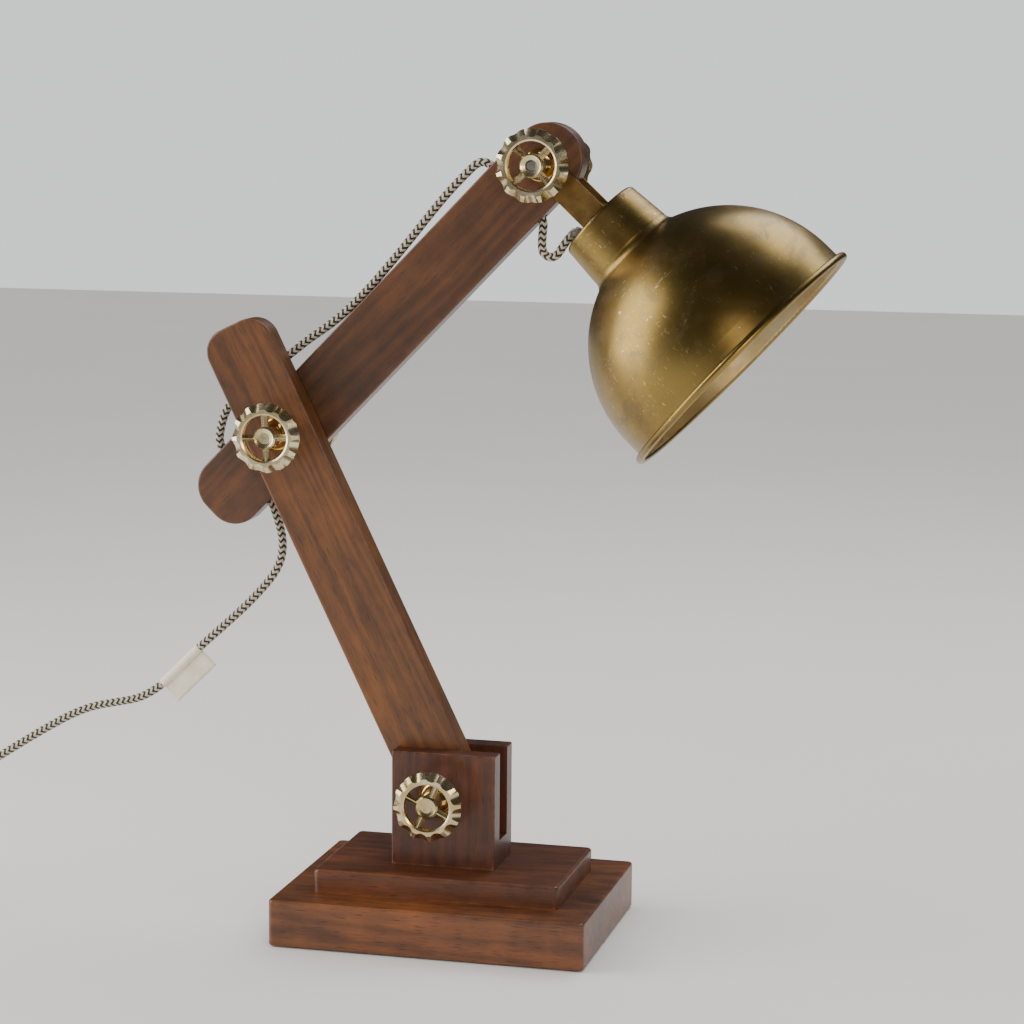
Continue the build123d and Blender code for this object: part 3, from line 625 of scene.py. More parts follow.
def outward_faces(item: bpy.types.Object) -> None:
    """Merges doubles and turns a closed mesh's faces outwards."""
    work = bmesh.new()
    work.from_mesh(item.data)
    bmesh.ops.remove_doubles(work, verts=work.verts, dist=1e-7)
    bmesh.ops.recalc_face_normals(work, faces=work.faces)
    work.to_mesh(item.data)
    work.free()


def head_point(distance: float, height: float, side: float = 0.0) -> Vector:
    """A point given along the shade's axis, above it and to its side, all in millimetres."""
    cos, sin = math.cos(HEAD_ANGLE), math.sin(HEAD_ANGLE)
    return Vector((HEAD[0] + (distance * cos - height * sin) * MM, HEAD[1] + side * MM,
                   HEAD[2] + (distance * sin + height * cos) * MM))


# ---------------------------------------------------------------- repeated and rule-shaped pieces
class Growth:
    """Builds one Geometry Nodes tree and turns what it grows into a plain mesh piece."""

    def __init__(self, name: str) -> None:
        """Makes an empty tree with geometry in and out."""
        self.tree = bpy.data.node_groups.new(name, "GeometryNodeTree")
        self.tree.interface.new_socket("Geometry", in_out="INPUT", socket_type="NodeSocketGeometry")
        self.tree.interface.new_socket("Geometry", in_out="OUTPUT", socket_type="NodeSocketGeometry")
        self.source = self.tree.nodes.new("NodeGroupInput")
        self.sink = self.tree.nodes.new("NodeGroupOutput")
        self.values: Dict[str, Any] = {}

    def size(self, name: str, value: Any, kind: str = "NodeSocketFloat") -> bpy.types.NodeSocket:
        """Adds a named input.

        Args:
            name: Input name.
            value: Its value on the modifier.
            kind: Socket type.

        Returns:
            The input's socket inside the tree.
        """
        item = self.tree.interface.new_socket(name, in_out="INPUT", socket_type=kind)
        self.values[item.identifier] = value
        return self.source.outputs[name]

    def node(self, kind: str, settings: Optional[Dict[str, Any]] = None,
             inputs: Optional[Dict[Union[str, int], Any]] = None) -> bpy.types.Node:
        """Adds a node.

        Args:
            kind: Node type.
            settings: Node properties.
            inputs: Socket name or index to a value or socket.

        Returns:
            The node.
        """
        node = self.tree.nodes.new(kind)
        for key, value in (settings or {}).items():
            setattr(node, key, value)
        for key, value in (inputs or {}).items():
            if isinstance(value, bpy.types.NodeSocket):
                self.tree.links.new(value, node.inputs[key])
            else:
                node.inputs[key].default_value = value
        return node

    def grow(self, name: str, shape: bpy.types.NodeSocket, material: bpy.types.Material,
             seat: Optional[bpy.types.Mesh] = None, place: Optional[Matrix] = None) -> bpy.types.Object:
        """Ends the tree, evaluates it and keeps its mesh.

        Args:
            name: Piece name.
            shape: The grown geometry.
            material: Its material.
            seat: Mesh that the tree starts from.
            place: Where the mesh goes.

        Returns:
            The piece.
        """
        real = self.node("GeometryNodeRealizeInstances", None, {0: shape})
        faced = self.node("GeometryNodeSetMaterial", None, {"Geometry": real.outputs[0], "Material": material})
        self.tree.links.new(faced.outputs[0], self.sink.inputs[0])
        holder = bpy.data.objects.new(name + "_holder", seat or bpy.data.meshes.new(name + "_seat"))
        bpy.context.scene.collection.objects.link(holder)
        modifier = holder.modifiers.new("growth", "NODES")
        modifier.node_group = self.tree
        for identifier, value in self.values.items():
            modifier[identifier] = value
        bpy.context.view_layer.update()
        mesh = bpy.data.meshes.new_from_object(holder.evaluated_get(bpy.context.evaluated_depsgraph_get()))
        holder.modifiers.remove(modifier)
        bpy.data.objects.remove(holder)
        mesh.name = name
        if place is not None:
            mesh.transform(place)
        mesh.materials.clear()
        mesh.materials.append(material)
        for polygon in mesh.polygons:
            polygon.use_smooth = True
        item = bpy.data.objects.new(name, mesh)
        bpy.context.scene.collection.objects.link(item)
        outward_faces(item)
        LOG.info("grew %s, %d faces", name, len(mesh.polygons))
        return item


def standing(origin: Vector, way: Vector) -> Matrix:
    """A placement whose Z runs along a direction from an origin."""
    return Matrix.Translation(origin) @ way.normalized().to_track_quat("Z", "Y").to_matrix().to_4x4()


@dataclass
class RibbedSleeve:
    """A tapered moulded sleeve with rings, where the cord enters the plug or the switch."""

    length: float = 0.024
    wide: float = 0.0052
    narrow: float = 0.0038
    rings: int = 7
    ring: float = 0.0008

    def grow(self, name: str, origin: Vector, way: Vector, material: bpy.types.Material) -> bpy.types.Object:
        """Grows the sleeve from its wide end.

        Args:
            name: Piece name.
            origin: Centre of the wide end.
            way: Direction of the narrow end.
            material: Moulding.

        Returns:
            The piece.
        """
        growth = Growth(name + "_tree")
        length = growth.size("Length", self.length)
        wide = growth.size("Wide radius", self.wide)
        narrow = growth.size("Narrow radius", self.narrow)
        count = growth.size("Rings", self.rings, "NodeSocketInt")
        thick = growth.size("Ring radius", self.ring)
        tip = growth.node("ShaderNodeCombineXYZ", None, {"Z": length})
        axis = growth.node("GeometryNodeCurvePrimitiveLine", None, {"End": tip.outputs[0]})
        dense = growth.node("GeometryNodeResampleCurve", None, {"Curve": axis.outputs[0], "Count": 24})
        share = growth.node("GeometryNodeSplineParameter")
        taper = growth.node("ShaderNodeMapRange", None, {"Value": share.outputs["Factor"], "To Min": wide,
                                                         "To Max": narrow})
        sized = growth.node("GeometryNodeSetCurveRadius", None, {"Curve": dense.outputs[0],
                                                                 "Radius": taper.outputs[0]})
        circle = growth.node("GeometryNodeCurvePrimitiveCircle", None, {"Resolution": 28, "Radius": 1.0})
        sleeve = growth.node("GeometryNodeCurveToMesh", None,
                             {"Curve": sized.outputs[0], "Profile Curve": circle.outputs[0], "Fill Caps": True})
        if "Scale" in sleeve.inputs:
            growth.tree.links.new(taper.outputs[0], sleeve.inputs["Scale"])
        seats = growth.node("GeometryNodeCurveToPoints", {"mode": "COUNT"}, {"Curve": axis.outputs[0],
                                                                            "Count": count})
        bead = growth.node("GeometryNodeCurvePrimitiveCircle", None, {"Resolution": 8, "Radius": thick})
        flat_ring = growth.node("GeometryNodeCurvePrimitiveCircle", None, {"Resolution": 28, "Radius": wide})
        ring = growth.node("GeometryNodeCurveToMesh", None, {"Curve": flat_ring.outputs[0],
                                                             "Profile Curve": bead.outputs[0]})
        index = growth.node("GeometryNodeInputIndex")
        shrink = growth.node("ShaderNodeMapRange", None,
                             {"Value": index.outputs[0], "From Min": 0.0, "From Max": float(self.rings - 1),
                              "To Min": 1.0, "To Max": self.narrow / self.wide})
        rings = growth.node("GeometryNodeInstanceOnPoints", None,
                            {"Points": seats.outputs[0], "Instance": ring.outputs[0], "Scale": shrink.outputs[0]})
        both = growth.node("GeometryNodeJoinGeometry")
        growth.tree.links.new(sleeve.outputs[0], both.inputs[0])
        growth.tree.links.new(rings.outputs[0], both.inputs[0])
        return growth.grow(name, both.outputs[0], material, place=standing(origin, way))


@dataclass
class ScrewThread:
    """The rolled thread of the lampholder's shell, a helix of one wire."""

    radius: float = 0.01335
    height: float = 0.0235
    turns: float = 7.0
    wire: float = 0.0006

    def grow(self, name: str, origin: Vector, way: Vector, material: bpy.types.Material) -> bpy.types.Object:
        """Grows the thread up the shell's wall.

        Args:
            name: Piece name.
            origin: Centre of the shell's inner end.
            way: Direction of its mouth.
            material: Metal.

        Returns:
            The piece.
        """
        growth = Growth(name + "_tree")
        radius = growth.size("Radius", self.radius)
        helix = growth.node("GeometryNodeCurveSpiral", None,
                            {"Resolution": 40, "Rotations": growth.size("Turns", self.turns),
                             "Start Radius": radius, "End Radius": radius,
                             "Height": growth.size("Height", self.height)})
        wire = growth.node("GeometryNodeCurvePrimitiveCircle", None,
                           {"Resolution": 8, "Radius": growth.size("Wire radius", self.wire)})
        thread = growth.node("GeometryNodeCurveToMesh", None,
                             {"Curve": helix.outputs[0], "Profile Curve": wire.outputs[0], "Fill Caps": True})
        return growth.grow(name, thread.outputs[0], material, place=standing(origin, way))


@dataclass
class FrayedThreads:
    """Loose grey threads of the worn cord cover, at the neck's cord hole."""

    count: int = 150
    length: float = 0.0034
    thickness: float = 0.00011
    seed: int = 11

    def grow(self, name: str, line: Sequence[Vector], material: bpy.types.Material, radius: float
             ) -> bpy.types.Object:
        """Grows threads round the start of a cord's line.

        Args:
            name: Piece name.
            line: The cord's line, of which the worn start is given.
            material: Thread.
            radius: The cord's radius in metres.

        Returns:
            The piece.
        """
        seat = bpy.data.meshes.new(name + "_seat")
        seat.from_pydata([tuple(p) for p in line], [(i, i + 1) for i in range(len(line) - 1)], [])
        growth = Growth(name + "_tree")
        path = growth.node("GeometryNodeMeshToCurve", None, {0: growth.source.outputs[0]})
        seats = growth.node("GeometryNodeCurveToPoints", {"mode": "COUNT"},
                            {"Curve": path.outputs[0], "Count": growth.size("Threads", self.count, "NodeSocketInt")})
        seed = growth.size("Seed", self.seed, "NodeSocketInt")
        half = growth.size("Thread length", self.length)
        tip = growth.node("ShaderNodeCombineXYZ", None, {"X": radius * 1.10, "Z": half})
        middle = growth.node("ShaderNodeCombineXYZ", None, {"X": radius * 1.22, "Z": self.length * 0.5})
        arc = growth.node("GeometryNodeCurveQuadraticBezier", None,
                          {"Resolution": 6, "Start": (radius * 0.96, 0.0, 0.0), "Middle": middle.outputs[0],
                           "End": tip.outputs[0]})
        profile = growth.node("GeometryNodeCurvePrimitiveCircle", None,
                              {"Resolution": 4, "Radius": growth.size("Thickness", self.thickness)})
        thread = growth.node("GeometryNodeCurveToMesh", None, {"Curve": arc.outputs[0],
                                                               "Profile Curve": profile.outputs[0]})
        spin = growth.node("FunctionNodeRandomValue", {"data_type": "FLOAT_VECTOR"},
                           {0: (-0.35, -0.35, -math.pi), 1: (0.35, 0.35, math.pi), "Seed": seed})
        turned = growth.node("FunctionNodeRotateRotation", {"rotation_space": "LOCAL"},
                             {0: seats.outputs["Rotation"], 1: spin.outputs[0]})
        placed = growth.node("GeometryNodeInstanceOnPoints", None,
                             {"Points": seats.outputs[0], "Instance": thread.outputs[0],
                              "Rotation": turned.outputs[0]})
        return growth.grow(name, placed.outputs[0], material, seat)


# ---------------------------------------------------------------- studio
@dataclass
class Studio:
    """Camera, floor and soft lights."""

    focal: float = 2877.8 / 1024 * 36
    azimuth: float = math.radians(13.99)
    height: float = math.radians(8.6)
    roll: float = math.radians(0.45)
    target: Point = (0.0425, 0.0, 0.3213)
    distance: float = 2.1377

    def build_camera(self) -> None:
        """Adds the camera and makes it the scene's."""
        data = bpy.data.cameras.new("Camera")
        data.lens = self.focal
        data.sensor_width = 36
        data.clip_end = 50
        camera = bpy.data.objects.new("Camera", data)
        bpy.context.scene.collection.objects.link(camera)
        cos_e = math.cos(self.height)
        back = Vector((math.sin(self.azimuth) * cos_e, -math.cos(self.azimuth) * cos_e, math.sin(self.height)))
        right = Vector((math.cos(self.azimuth), math.sin(self.azimuth), 0))
        up = back.cross(right)
        across = right * math.cos(self.roll) + up * math.sin(self.roll)
        upright = up * math.cos(self.roll) - right * math.sin(self.roll)
        turn = Matrix((across, upright, back)).transposed().to_4x4()
        camera.matrix_world = Matrix.Translation(Vector(self.target) + back * self.distance) @ turn
        bpy.context.scene.camera = camera
        LOG.info("camera placed")

    def build_set(self) -> None:
        """Adds the floor, the lights and the surrounding light."""
        shop = Shop("floor_paint")
        place = shop.node("ShaderNodeTexCoord").outputs["Object"]
        cloud = shop.noise(place, 3.0, 2.0)
        tint = shop.blend(cloud, colour("d9d6d1"), colour("dfdcd7"))
        paint = shop.finish({"Base Color": tint, "Roughness": 0.6})
        floor = piece("floor", [(-6, -6, 0), (6, -6, 0), (6, 6, 0), (-6, 6, 0)], [(0, 1, 2, 3)], paint)
        world = bpy.data.worlds.new("studio")
        bpy.context.scene.world = world
        world.use_nodes = True
        ground = world.node_tree.nodes["Background"]
        ground.inputs["Color"].default_value = (0.88, 0.89, 0.91, 1)
        ground.inputs["Strength"].default_value = 1.15
        dim = world.node_tree.nodes.new("ShaderNodeBackground")
        dim.inputs["Color"].default_value = (0.66, 0.65, 0.63, 1)
        dim.inputs["Strength"].default_value = 0.08
        rays = world.node_tree.nodes.new("ShaderNodeLightPath")
        pick = world.node_tree.nodes.new("ShaderNodeMixShader")
        links = world.node_tree.links
        links.new(rays.outputs["Is Glossy Ray"], pick.inputs[0])
        links.new(ground.outputs[0], pick.inputs[1])
        links.new(dim.outputs[0], pick.inputs[2])
        links.new(pick.outputs[0], world.node_tree.nodes["World Output"].inputs["Surface"])
        self._lamp("key_light", (-1.65, -0.45, 0.85), (1.3, 1.7), 34.0, (1.0, 0.97, 0.93))
        self._lamp("side_light", (0.9, -1.7, 0.75), (0.34, 0.34), 8.0, (1.0, 0.88, 0.72))
        self._lamp("top_light", (0.7, 1.1, 1.9), (1.5, 1.2), 22.0, (0.97, 0.98, 1.0))
        LOG.info("studio set")

    def _lamp(self, name: str, place: Point, size: Tuple[float, float], power: float, tint: Colour) -> None:
        """One soft rectangular light aimed at the lamp.

        Args:
            name: Light name.
            place: Where it stands.
            size: Width and height in metres.
            power: Watts.
            tint: Its colour.
        """
        data = bpy.data.lights.new(name, "AREA")
        data.shape = "RECTANGLE"
        data.size, data.size_y = size
        data.energy = power
        data.color = tint
        item = bpy.data.objects.new(name, data)
        item.location = place
        aim = Vector((0.03, 0.0, 0.32)) - Vector(place)
        item.rotation_euler = aim.to_track_quat("-Z", "Y").to_euler()
        bpy.context.scene.collection.objects.link(item)


# ---------------------------------------------------------------- cord
def flat(points: Sequence[Tuple[float, float]]) -> List[Point]:
    """Route points given as (x, z) in the upper arm's middle plane, in millimetres."""
    return [(x, ARM_MIDDLE_Y, z) for x, z in points]


def in_head(points: Sequence[Tuple[float, float]]) -> List[Point]:
    """Route points given as (distance, height) from the shade's axis, in millimetres."""
    return [tuple(head_point(*point) / MM) for point in points]  # type: ignore[misc]


@dataclass
class Cord:
    """The braided cord: its four stretches, the coil, the tag, the plug and the switch."""

    radius: float = 3.2
    sides: int = 20
    coil_centre: Tuple[float, float] = (-478.0, -92.0)
    coil_radii: Tuple[float, float] = (41.0, 29.0)
    head_loop: List[Point] = field(default_factory=lambda: in_head([
        (60.3, -16.0), (56.2, -16.0), (52.6, -18.2), (50.6, -21.9), (50.5, -28.0), (51.5, -35.0),
        (52.9, -41.8), (50.7, -46.2), (46.2, -48.2), (41.5, -46.9), (34.2, -38.6), (27.6, -29.68),
        (22.0, -29.4)]))
    arm_run: List[Point] = field(default_factory=lambda: in_head([
        (22.0, -29.4), (12.0, -28.9), (0.5, -29.5), (-12.0, -28.7), (-22.0, -29.2)]) + flat([
            (19.6, 576.3), (14.2, 578.9), (8.8, 577.9), (2.6, 572.2), (-12.3, 557.2), (-27.8, 538.9),
            (-43.0, 520.0), (-58.5, 501.5), (-74.0, 484.0), (-90.0, 467.6), (-105.6, 454.6), (-121.5, 444.0),
            (-137.4, 431.4), (-154.0, 418.4), (-170.5, 406.0), (-182.0, 396.4), (-189.8, 385.5),
            (-193.6, 372.5), (-194.8, 362.5), (-189.9, 353.8), (-181.0, 346.1), (-172.6, 337.5),
            (-164.0, 328.4), (-155.9, 321.2)]))
    drop: List[Point] = field(default_factory=lambda: flat([
        (-155.9, 321.2), (-152.3, 318.0), (-149.2, 309.0), (-145.6, 298.0), (-143.6, 287.5),
        (-144.3, 276.0), (-148.4, 265.2), (-157.0, 253.6), (-171.0, 238.4), (-187.2, 223.2),
        (-208.5, 204.2), (-219.2, 193.7), (-229.8, 183.2)]))
    lead: List[Point] = field(default_factory=lambda: [
        (-229.8, 21.2, 183.2), (-238.3, 21.2, 174.8), (-246.9, 21.2, 166.34), (-262.5, 21.0, 157.2),
        (-281.0, 20.6, 153.2), (-299.0, 20.0, 149.6), (-317.0, 19.2, 142.5), (-338.0, 18.2, 130.5),
        (-360.0, 17.0, 116.8), (-382.0, 15.5, 102.6), (-405.0, 14.0, 87.2), (-427.0, 13.0, 71.0),
        (-448.0, 12.6, 53.0), (-467.0, 12.4, 34.5), (-483.0, 12.3, 18.0), (-497.0, 12.0, 7.0),
        (-512.0, 11.0, 3.3), (-528.0, 6.5, 3.4), (-540.5, -4.5, 3.6), (-546.5, -18.0, 7.0),
        (-547.4, -32.0, 9.2), (-547.0, -47.0, 9.0), (-547.1, -60.0, 9.1), (-547.0, -74.0, 9.0),
        (-546.6, -88.0, 8.8), (-544.5, -101.0, 5.0), (-537.5, -113.0, 3.5), (-526.5, -122.5, 3.3),
        (-513.0, -129.0, 3.3), (-499.5, -132.4, 3.25)])
    tail: List[Point] = field(default_factory=lambda: [
        (-488.9, -121.9, 17.0), (-478.0, -123.8, 19.4), (-467.1, -121.9, 22.4), (-457.1, -116.0, 25.2),
        (-450.5, -108.0, 27.2), (-447.9, -98.8, 27.8), (-447.2, -90.0, 27.8)])

    def coil(self) -> List[Point]:
        """The wound length: three layers of two turns, in, out and in again.

        Returns:
            Its route points in millimetres.
        """
        points: List[Point] = []
        outer, inner = self.coil_radii
        per_turn, per_layer = 14, 28
        for step in range(3 * per_layer - 1):
            layer, place = divmod(step, per_layer)
            share = place / per_layer
            share = share if layer % 2 == 0 else 1.0 - share
            reach = outer + (inner - outer) * share
            rise = max(0.0, min(1.0, (place - per_layer + 3) / 3.0))
            height = self.radius * (1 + 2 * (layer + (rise if layer < 2 else 0.0))) + 0.05
            angle = math.radians(-90.0 + 360.0 * step / per_turn)
            points.append((self.coil_centre[0] + reach * math.cos(angle),
                           self.coil_centre[1] + reach * math.sin(angle), height))
        return points

    def spline(self, name: str, points: Sequence[Point]) -> List[Vector]:
        """Reads the smooth line of a route.

        Args:
            name: Working name.
            points: Control points in millimetres.

        Returns:
            Points along the NURBS spline, in metres.
        """
        curve = bpy.data.curves.new(name, "CURVE")
        curve.dimensions = "3D"
        spline = curve.splines.new("NURBS")
        spline.points.add(len(points) - 1)
        for slot, point in zip(spline.points, points):
            slot.co = (*(Vector(point) * MM), 1.0)
        spline.order_u = 3
        spline.use_endpoint_u = True
        spline.resolution_u = 6
        holder = bpy.data.objects.new(name, curve)
        bpy.context.scene.collection.objects.link(holder)
        bpy.context.view_layer.update()
        mesh = bpy.data.meshes.new_from_object(holder.evaluated_get(bpy.context.evaluated_depsgraph_get()))
        line = [vertex.co.copy() for vertex in mesh.vertices]
        bpy.data.objects.remove(holder)
        bpy.data.curves.remove(curve)
        bpy.data.meshes.remove(mesh)
        return line

    def tube(self, name: str, points: Sequence[Point], material: bpy.types.Material
             ) -> Tuple[bpy.types.Object, List[Vector]]:
        """A round tube along a route, with a map of metres along and turns round.

        Args:
            name: Piece name.
            points: Control points in millimetres.
            material: Braid.

        Returns:
            The piece and its line.
        """
        line = self.spline(name + "_line", points)
        clean = [line[0]]
        for point in line[1:]:
            if (point - clean[-1]).length > 0.0004:
                clean.append(point)
        line = clean
        runs = [0.0]
        for before, after in zip(line, line[1:]):
            runs.append(runs[-1] + (after - before).length)
        tangents = []
        for i in range(len(line)):
            tangents.append((line[min(i + 1, len(line) - 1)] - line[max(i - 1, 0)]).normalized())
        side = tangents[0].orthogonal().normalized()
        verts: List[Vector] = []
        for i, (point, tangent) in enumerate(zip(line, tangents)):
            if i:
                side = tangents[i - 1].rotation_difference(tangent) @ side
                side = (side - tangent * side.dot(tangent)).normalized()
            other = tangent.cross(side)
            for k in range(self.sides):
                angle = math.tau * k / self.sides
                verts.append(point + (side * math.cos(angle) + other * math.sin(angle)) * (self.radius * MM))
        faces = []
        for i in range(len(line) - 1):
            for k in range(self.sides):
                a, b = i * self.sides + k, i * self.sides + (k + 1) % self.sides
                faces.append((a, b, b + self.sides, a + self.sides))
        count = len(faces)
        faces.append(tuple(reversed(range(self.sides))))
        faces.append(tuple(range(len(verts) - self.sides, len(verts))))
        item = piece(name, verts, faces, material)
        layer = item.data.uv_layers.new(name="along")
        for polygon in item.data.polygons:
            for corner, loop in enumerate(polygon.loop_indices):
                vertex = item.data.loops[loop].vertex_index
                ring, k = divmod(vertex, self.sides)
                wrap = 1.0 if polygon.index < count and k == 0 and corner in (1, 2) else 0.0
                layer.data[loop].uv = (runs[ring], k / self.sides + wrap)
        LOG.info("%s is %.0f mm long", name, runs[-1] * 1000)
        return item, line

    def build(self) -> None:
        braid = BraidFinish().make("cord_braid")
        frayed = BraidFinish(frayed=0.013).make("cord_braid_frayed")
        loop, loop_line = self.tube("braided_head_loop", self.head_loop, frayed)
        run, run_line = self.tube("braided_arm_run", self.arm_run, braid)
        drop, drop_line = self.tube("braided_drop", self.drop, braid)
        route = self.lead + self.coil() + self.tail
        lead, lead_line = self.tube("braided_lead", route, braid)
        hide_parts("cord_head_loop")
        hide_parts("cord_arm_run")
        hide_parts("cord_drop")
        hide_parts("cord_lead", "cord_coil", "cord_tail")
        tuple(loop_line[0])
        tuple(loop_line[-1])
        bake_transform(loop)
        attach(run, "upper")
        tuple(drop_line[0])
        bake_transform(drop)
        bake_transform(lead)
        tuple(loop_line[0])
        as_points(loop_line)
        tuple(run_line[0])
        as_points(run_line)
        tuple(drop_line[0])
        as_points(drop_line)
        extras = ["plug_body", "plug_blades", "switch_lower_half", "switch_upper_half", "switch_rocker",
                  "switch_screw"]
        sleeves = self.dress_ends(loop_line)
        tuple(lead_line[0])
        [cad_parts[name] for name in extras] + sleeves
        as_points(lead_line)

    def dress_ends(self, loop_line: Sequence[Vector]) -> List[bpy.types.Object]:
        """Finishes the plug, the switch, the tag and the worn end at the neck.

        Args:
            loop_line: The head loop's line.

        Returns:
            The sleeves on the lead.
        """
        phenolic = SoftFinish("120e0c", "211a16", 0.42, 1400.0, 0.00003, 70.0, 0.25, marks="3c332c").make("phenolic")
        dress(phenolic, "plug_body", "switch_lower_half", "switch_upper_half", "switch_rocker", "cord_bush")
        sleeves = [
            RibbedSleeve(0.020, 0.0054, 0.0042).grow("plug_sleeve", Vector((-447.2, -89.9, 27.8)) * MM,
                                                     Vector((-0.06, -1.0, -0.02)), phenolic),
            RibbedSleeve(0.016, 0.0052, 0.0041, 5).grow("switch_sleeve_in", Vector((-547.2, -31.2, 9.1)) * MM,
                                                        Vector((0.03, 1.0, -0.06)), phenolic),
            RibbedSleeve(0.012, 0.0052, 0.0042, 4).grow("switch_sleeve_out", Vector((-546.9, -88.8, 8.8)) * MM,
                                                        Vector((0.08, -1.0, -0.18)), phenolic)]
        for sleeve in sleeves:
            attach(sleeve, "base")
        grey = SoftFinish("5d5952", "a29d94", 0.9, 2600.0, marks="3f3b36").make("frayed_thread")
        worn: List[Vector] = []
        for point in loop_line:
            if (point - loop_line[0]).length < 0.0125:
                worn.append(point)
        threads = FrayedThreads().grow("frayed_threads", worn, grey, self.radius * MM)
        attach(threads, "head")
        dress(MetalFinish(Metal.PRESSED_BRASS, seed=3.0).make("blade_brass"), "plug_blades")
        self.build_tag()
        return sleeves

    def build_tag(self) -> None:
        """The blank paper tag, wrapped round the cord, its two leaves stuck into one curled flag."""
        paper = SoftFinish("d8ccb2", "f0e8d6", 0.82, 1900.0, 0.00006, 90.0, marks="9c8866", marked=0.35,
                           ).make("tag_paper")
        start = Vector((-208.5, 21.2, 204.2)) * MM
        end = Vector((-246.9, 21.2, 166.34)) * MM
        along = (end - start).normalized()
        out = along.cross(Vector((0, 1, 0))).normalized()
        side = Vector((0, 1, 0))
        low, length, flag = 5.0 * MM, 43.0 * MM, 15.3 * MM
        reach = (self.radius + 0.30) * MM
        rows, verts, faces = 15, [], []
        section: List[Tuple[float, float]] = []
        for k in range(9):
            section.append((-0.00022, reach + flag * (1 - k / 8)))
        for k in range(25):
            angle = math.radians(-176 - 354 * (k + 0.5) / 26)
            section.append((math.sin(angle) * reach, -math.cos(angle) * reach))
        for k in range(9):
            section.append((0.00022, reach + flag * k / 8))
        for i in range(rows):
            share = i / (rows - 1)
            for across, height in section:
                past = max(0.0, (height - reach) / flag)
                curl = past * past * (0.0022 * math.sin(share * 2.6 + 0.4) - 0.0006)
                skew = past * 0.0010 * (share - 0.5)
                verts.append(start + along * (low + length * share + skew) + side * (across + curl) + out * height)
        width = len(section)
        for i in range(rows - 1):
            for k in range(width - 1):
                a = i * width + k
                faces.append((a, a + 1, a + 1 + width, a + width))
        tag = piece("paper_tag", verts, faces, paper)
        solid = tag.modifiers.new("thickness", "SOLIDIFY")
        solid.thickness = 0.00018
        solid.offset = 0.0
        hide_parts("cord_tag")
        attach(tag, "lower")
        LOG.info("tag made")


# ---------------------------------------------------------------- base and arms
@dataclass
class Woodwork:
    """Base, block and arms: each board gets its own grain."""

    def build(self) -> None:
        """Dresses the wooden pieces, the felt and the fibre washers."""
        plinth = Walnut((0, 0, 0.0187), 0.0, (0.120, 0.089, 0.0175), dark="2d1405", light="80471a", seed=1.3,
                        figure=1.2).make("plinth_walnut")
        dress(plinth, "lower_plinth")
        step = Walnut((0, 0, 0.04485), 0.0, (0.094, 0.059, 0.00865), dark="2a1205", light="733b14", seed=4.1,
                      ).make("step_walnut")
        dress(step, "upper_plinth")
        block = Walnut((-0.0025, 0, 0.097), math.pi / 2, (0.0435, 0.027, 0.040), dark="2c1204", light="653010",
                       seed=7.7, tone=-0.05).make("block_walnut")
        dress(block, "clevis_block")
        lower_length = 0.027 + math.dist(SHOULDER, ELBOW) + 0.0887
        low = -0.027 + lower_length / 2
        centre = (SHOULDER[0] + low * math.cos(LOWER_ANGLE), 0.0, SHOULDER[2] + low * math.sin(LOWER_ANGLE))
        lower = Walnut(centre, LOWER_ANGLE, (lower_length / 2, 0.010, 0.027), dark="2d1605", light="7c4815",
                       ends=(0.0269, 0.018), seed=2.4, tone=0.0).make("lower_arm_walnut")
        dress(lower, "lower_arm")
        flat_head = (HEAD[0], 0.0, HEAD[2])
        upper_length = 0.090 + math.dist(ELBOW, flat_head) + 0.0324
        mid = -0.090 + upper_length / 2
        centre = (ELBOW[0] + mid * math.cos(UPPER_ANGLE), 0.0212, ELBOW[2] + mid * math.sin(UPPER_ANGLE))
        upper = Walnut(centre, UPPER_ANGLE, (upper_length / 2, 0.010, 0.027), dark="2a1506", light="683b12",
                       ends=(0.022, 0.0269), seed=9.2, tone=-0.03, figure=0.7).make("upper_arm_walnut")
        dress(upper, "upper_arm")
        dress(SoftFinish("141c16", "233026", 0.95, 2600.0, 0.0004, 40.0, sheen=0.4).make("green_felt"), "base_felt")
        dress(SoftFinish("2c1b13", "4a2f22", 0.8, 1800.0).make("vulcanised_fibre"), "shoulder_slot_washers",
              "elbow_spacer", "fork_washers")


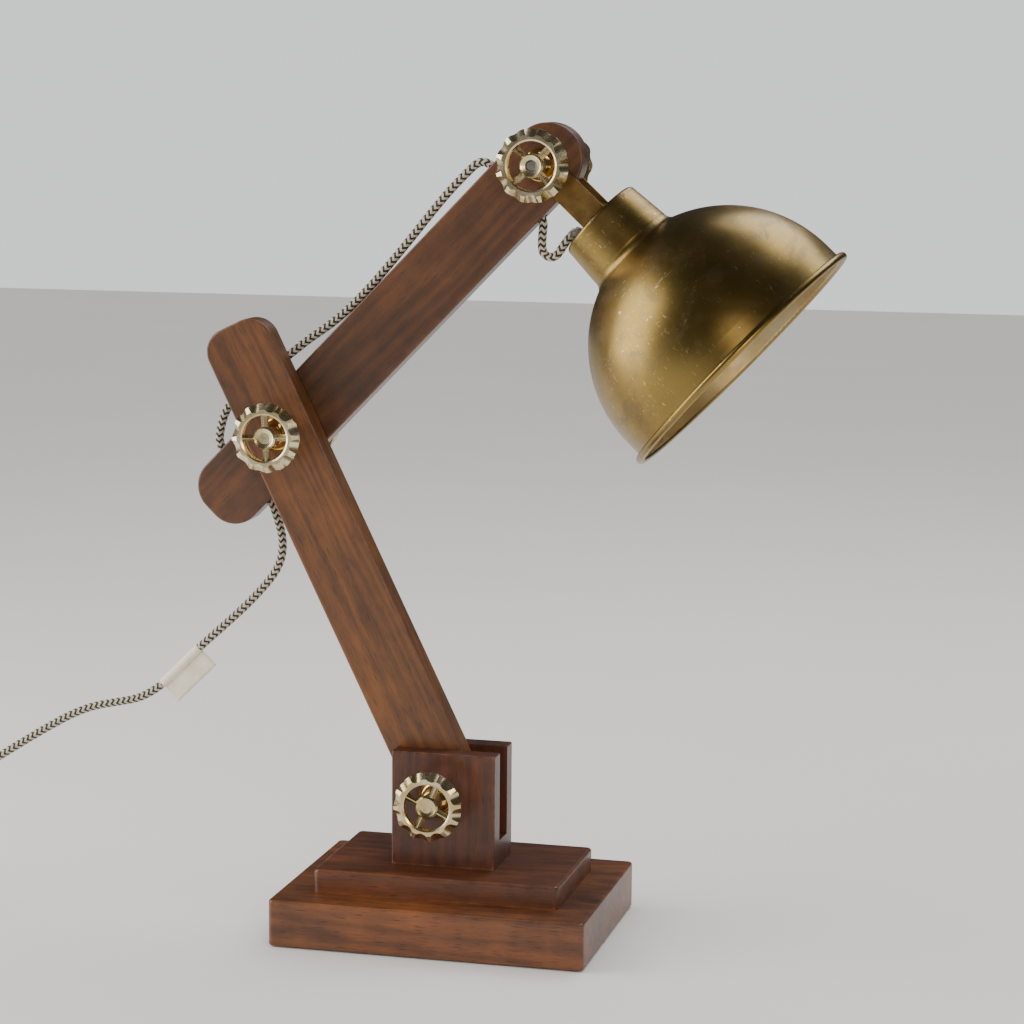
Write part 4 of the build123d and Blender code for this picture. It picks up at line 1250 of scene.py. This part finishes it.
@dataclass
class Hardware:
    """Handwheels, cup washers, flat washers, rods and screws."""

    def build(self) -> None:
        """Dresses every metal piece of the pivots."""
        places = {"shoulder": SHOULDER, "elbow": ELBOW, "head": HEAD}
        for number, (pivot, place) in enumerate(places.items()):
            for side, offset in (("front", 0.0), ("back", 5.0)):
                seed = number * 1.7 + offset
                cast = MetalFinish(Metal.CAST_BRASS, place, 0.0, 0.15, 0.9, seed).make(f"{pivot}_{side}_cast_brass")
                dress(cast, f"{pivot}_{side}_handwheel")
            polished = MetalFinish(Metal.POLISHED_BRASS, place, math.pi / 2, 0.35, 0.3, number).make(
                f"{pivot}_polished_brass")
            dress(polished, f"{pivot}_front_cup", f"{pivot}_back_cup")
            if pivot != "head":
                dress(polished, f"{pivot}_front_washer", f"{pivot}_back_washer")
        steel = MetalFinish(Metal.ZINC, brushed=0.3).make("zinc_plate")
        dress(steel, "shoulder_rod", "elbow_rod", "head_rod", "step_screws", "block_screws", "switch_screw",
              "fork_nut", "neck_locknut")


# ---------------------------------------------------------------- head
@dataclass
class Head:
    """Fork, neck, shade and lampholder."""

    def build(self) -> None:
        """Dresses the head's pieces."""
        dress(ShadeFinish().make("shade_spun_brass"), "shade_dome")
        dress(ShadeFinish(neck=True).make("neck_spun_brass"), "shade_neck")
        dress(MetalFinish(Metal.FORK_BRASS, HEAD, HEAD_ANGLE, 0.4, 1.0, 2.0).make("fork_brass"), "fork",
              "fork_nipple")
        pressed = MetalFinish(Metal.PRESSED_BRASS, HEAD, HEAD_ANGLE, 0.6, 0.5, 1.0).make("lampholder_brass")
        dress(pressed, "lampholder_cap", "screw_shell", "centre_contact")
        shell_start, way = head_point(83.6, 0.0), head_point(110.0, 0.0) - head_point(80.0, 0.0)
        thread = ScrewThread().grow("shell_thread", shell_start, way, pressed)
        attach(thread, "head")
        dress(SoftFinish("d9d3c4", "ece7db", 0.22, 900.0, 0.00002, 50.0, 0.6, marks="8d8268", marked=0.18,
                         ).make("glazed_porcelain"), "lampholder_insulator")


def main() -> None:
    """Builds the camera and cords first, then dresses the lamp from the base to the head."""
    logging.basicConfig(level=logging.INFO, format="%(name)s: %(message)s")
    studio = Studio()
    studio.build_camera()
    Cord().build()
    Woodwork().build()
    Hardware().build()
    Head().build()
    studio.build_set()


if __name__ == "__main__":
    main()
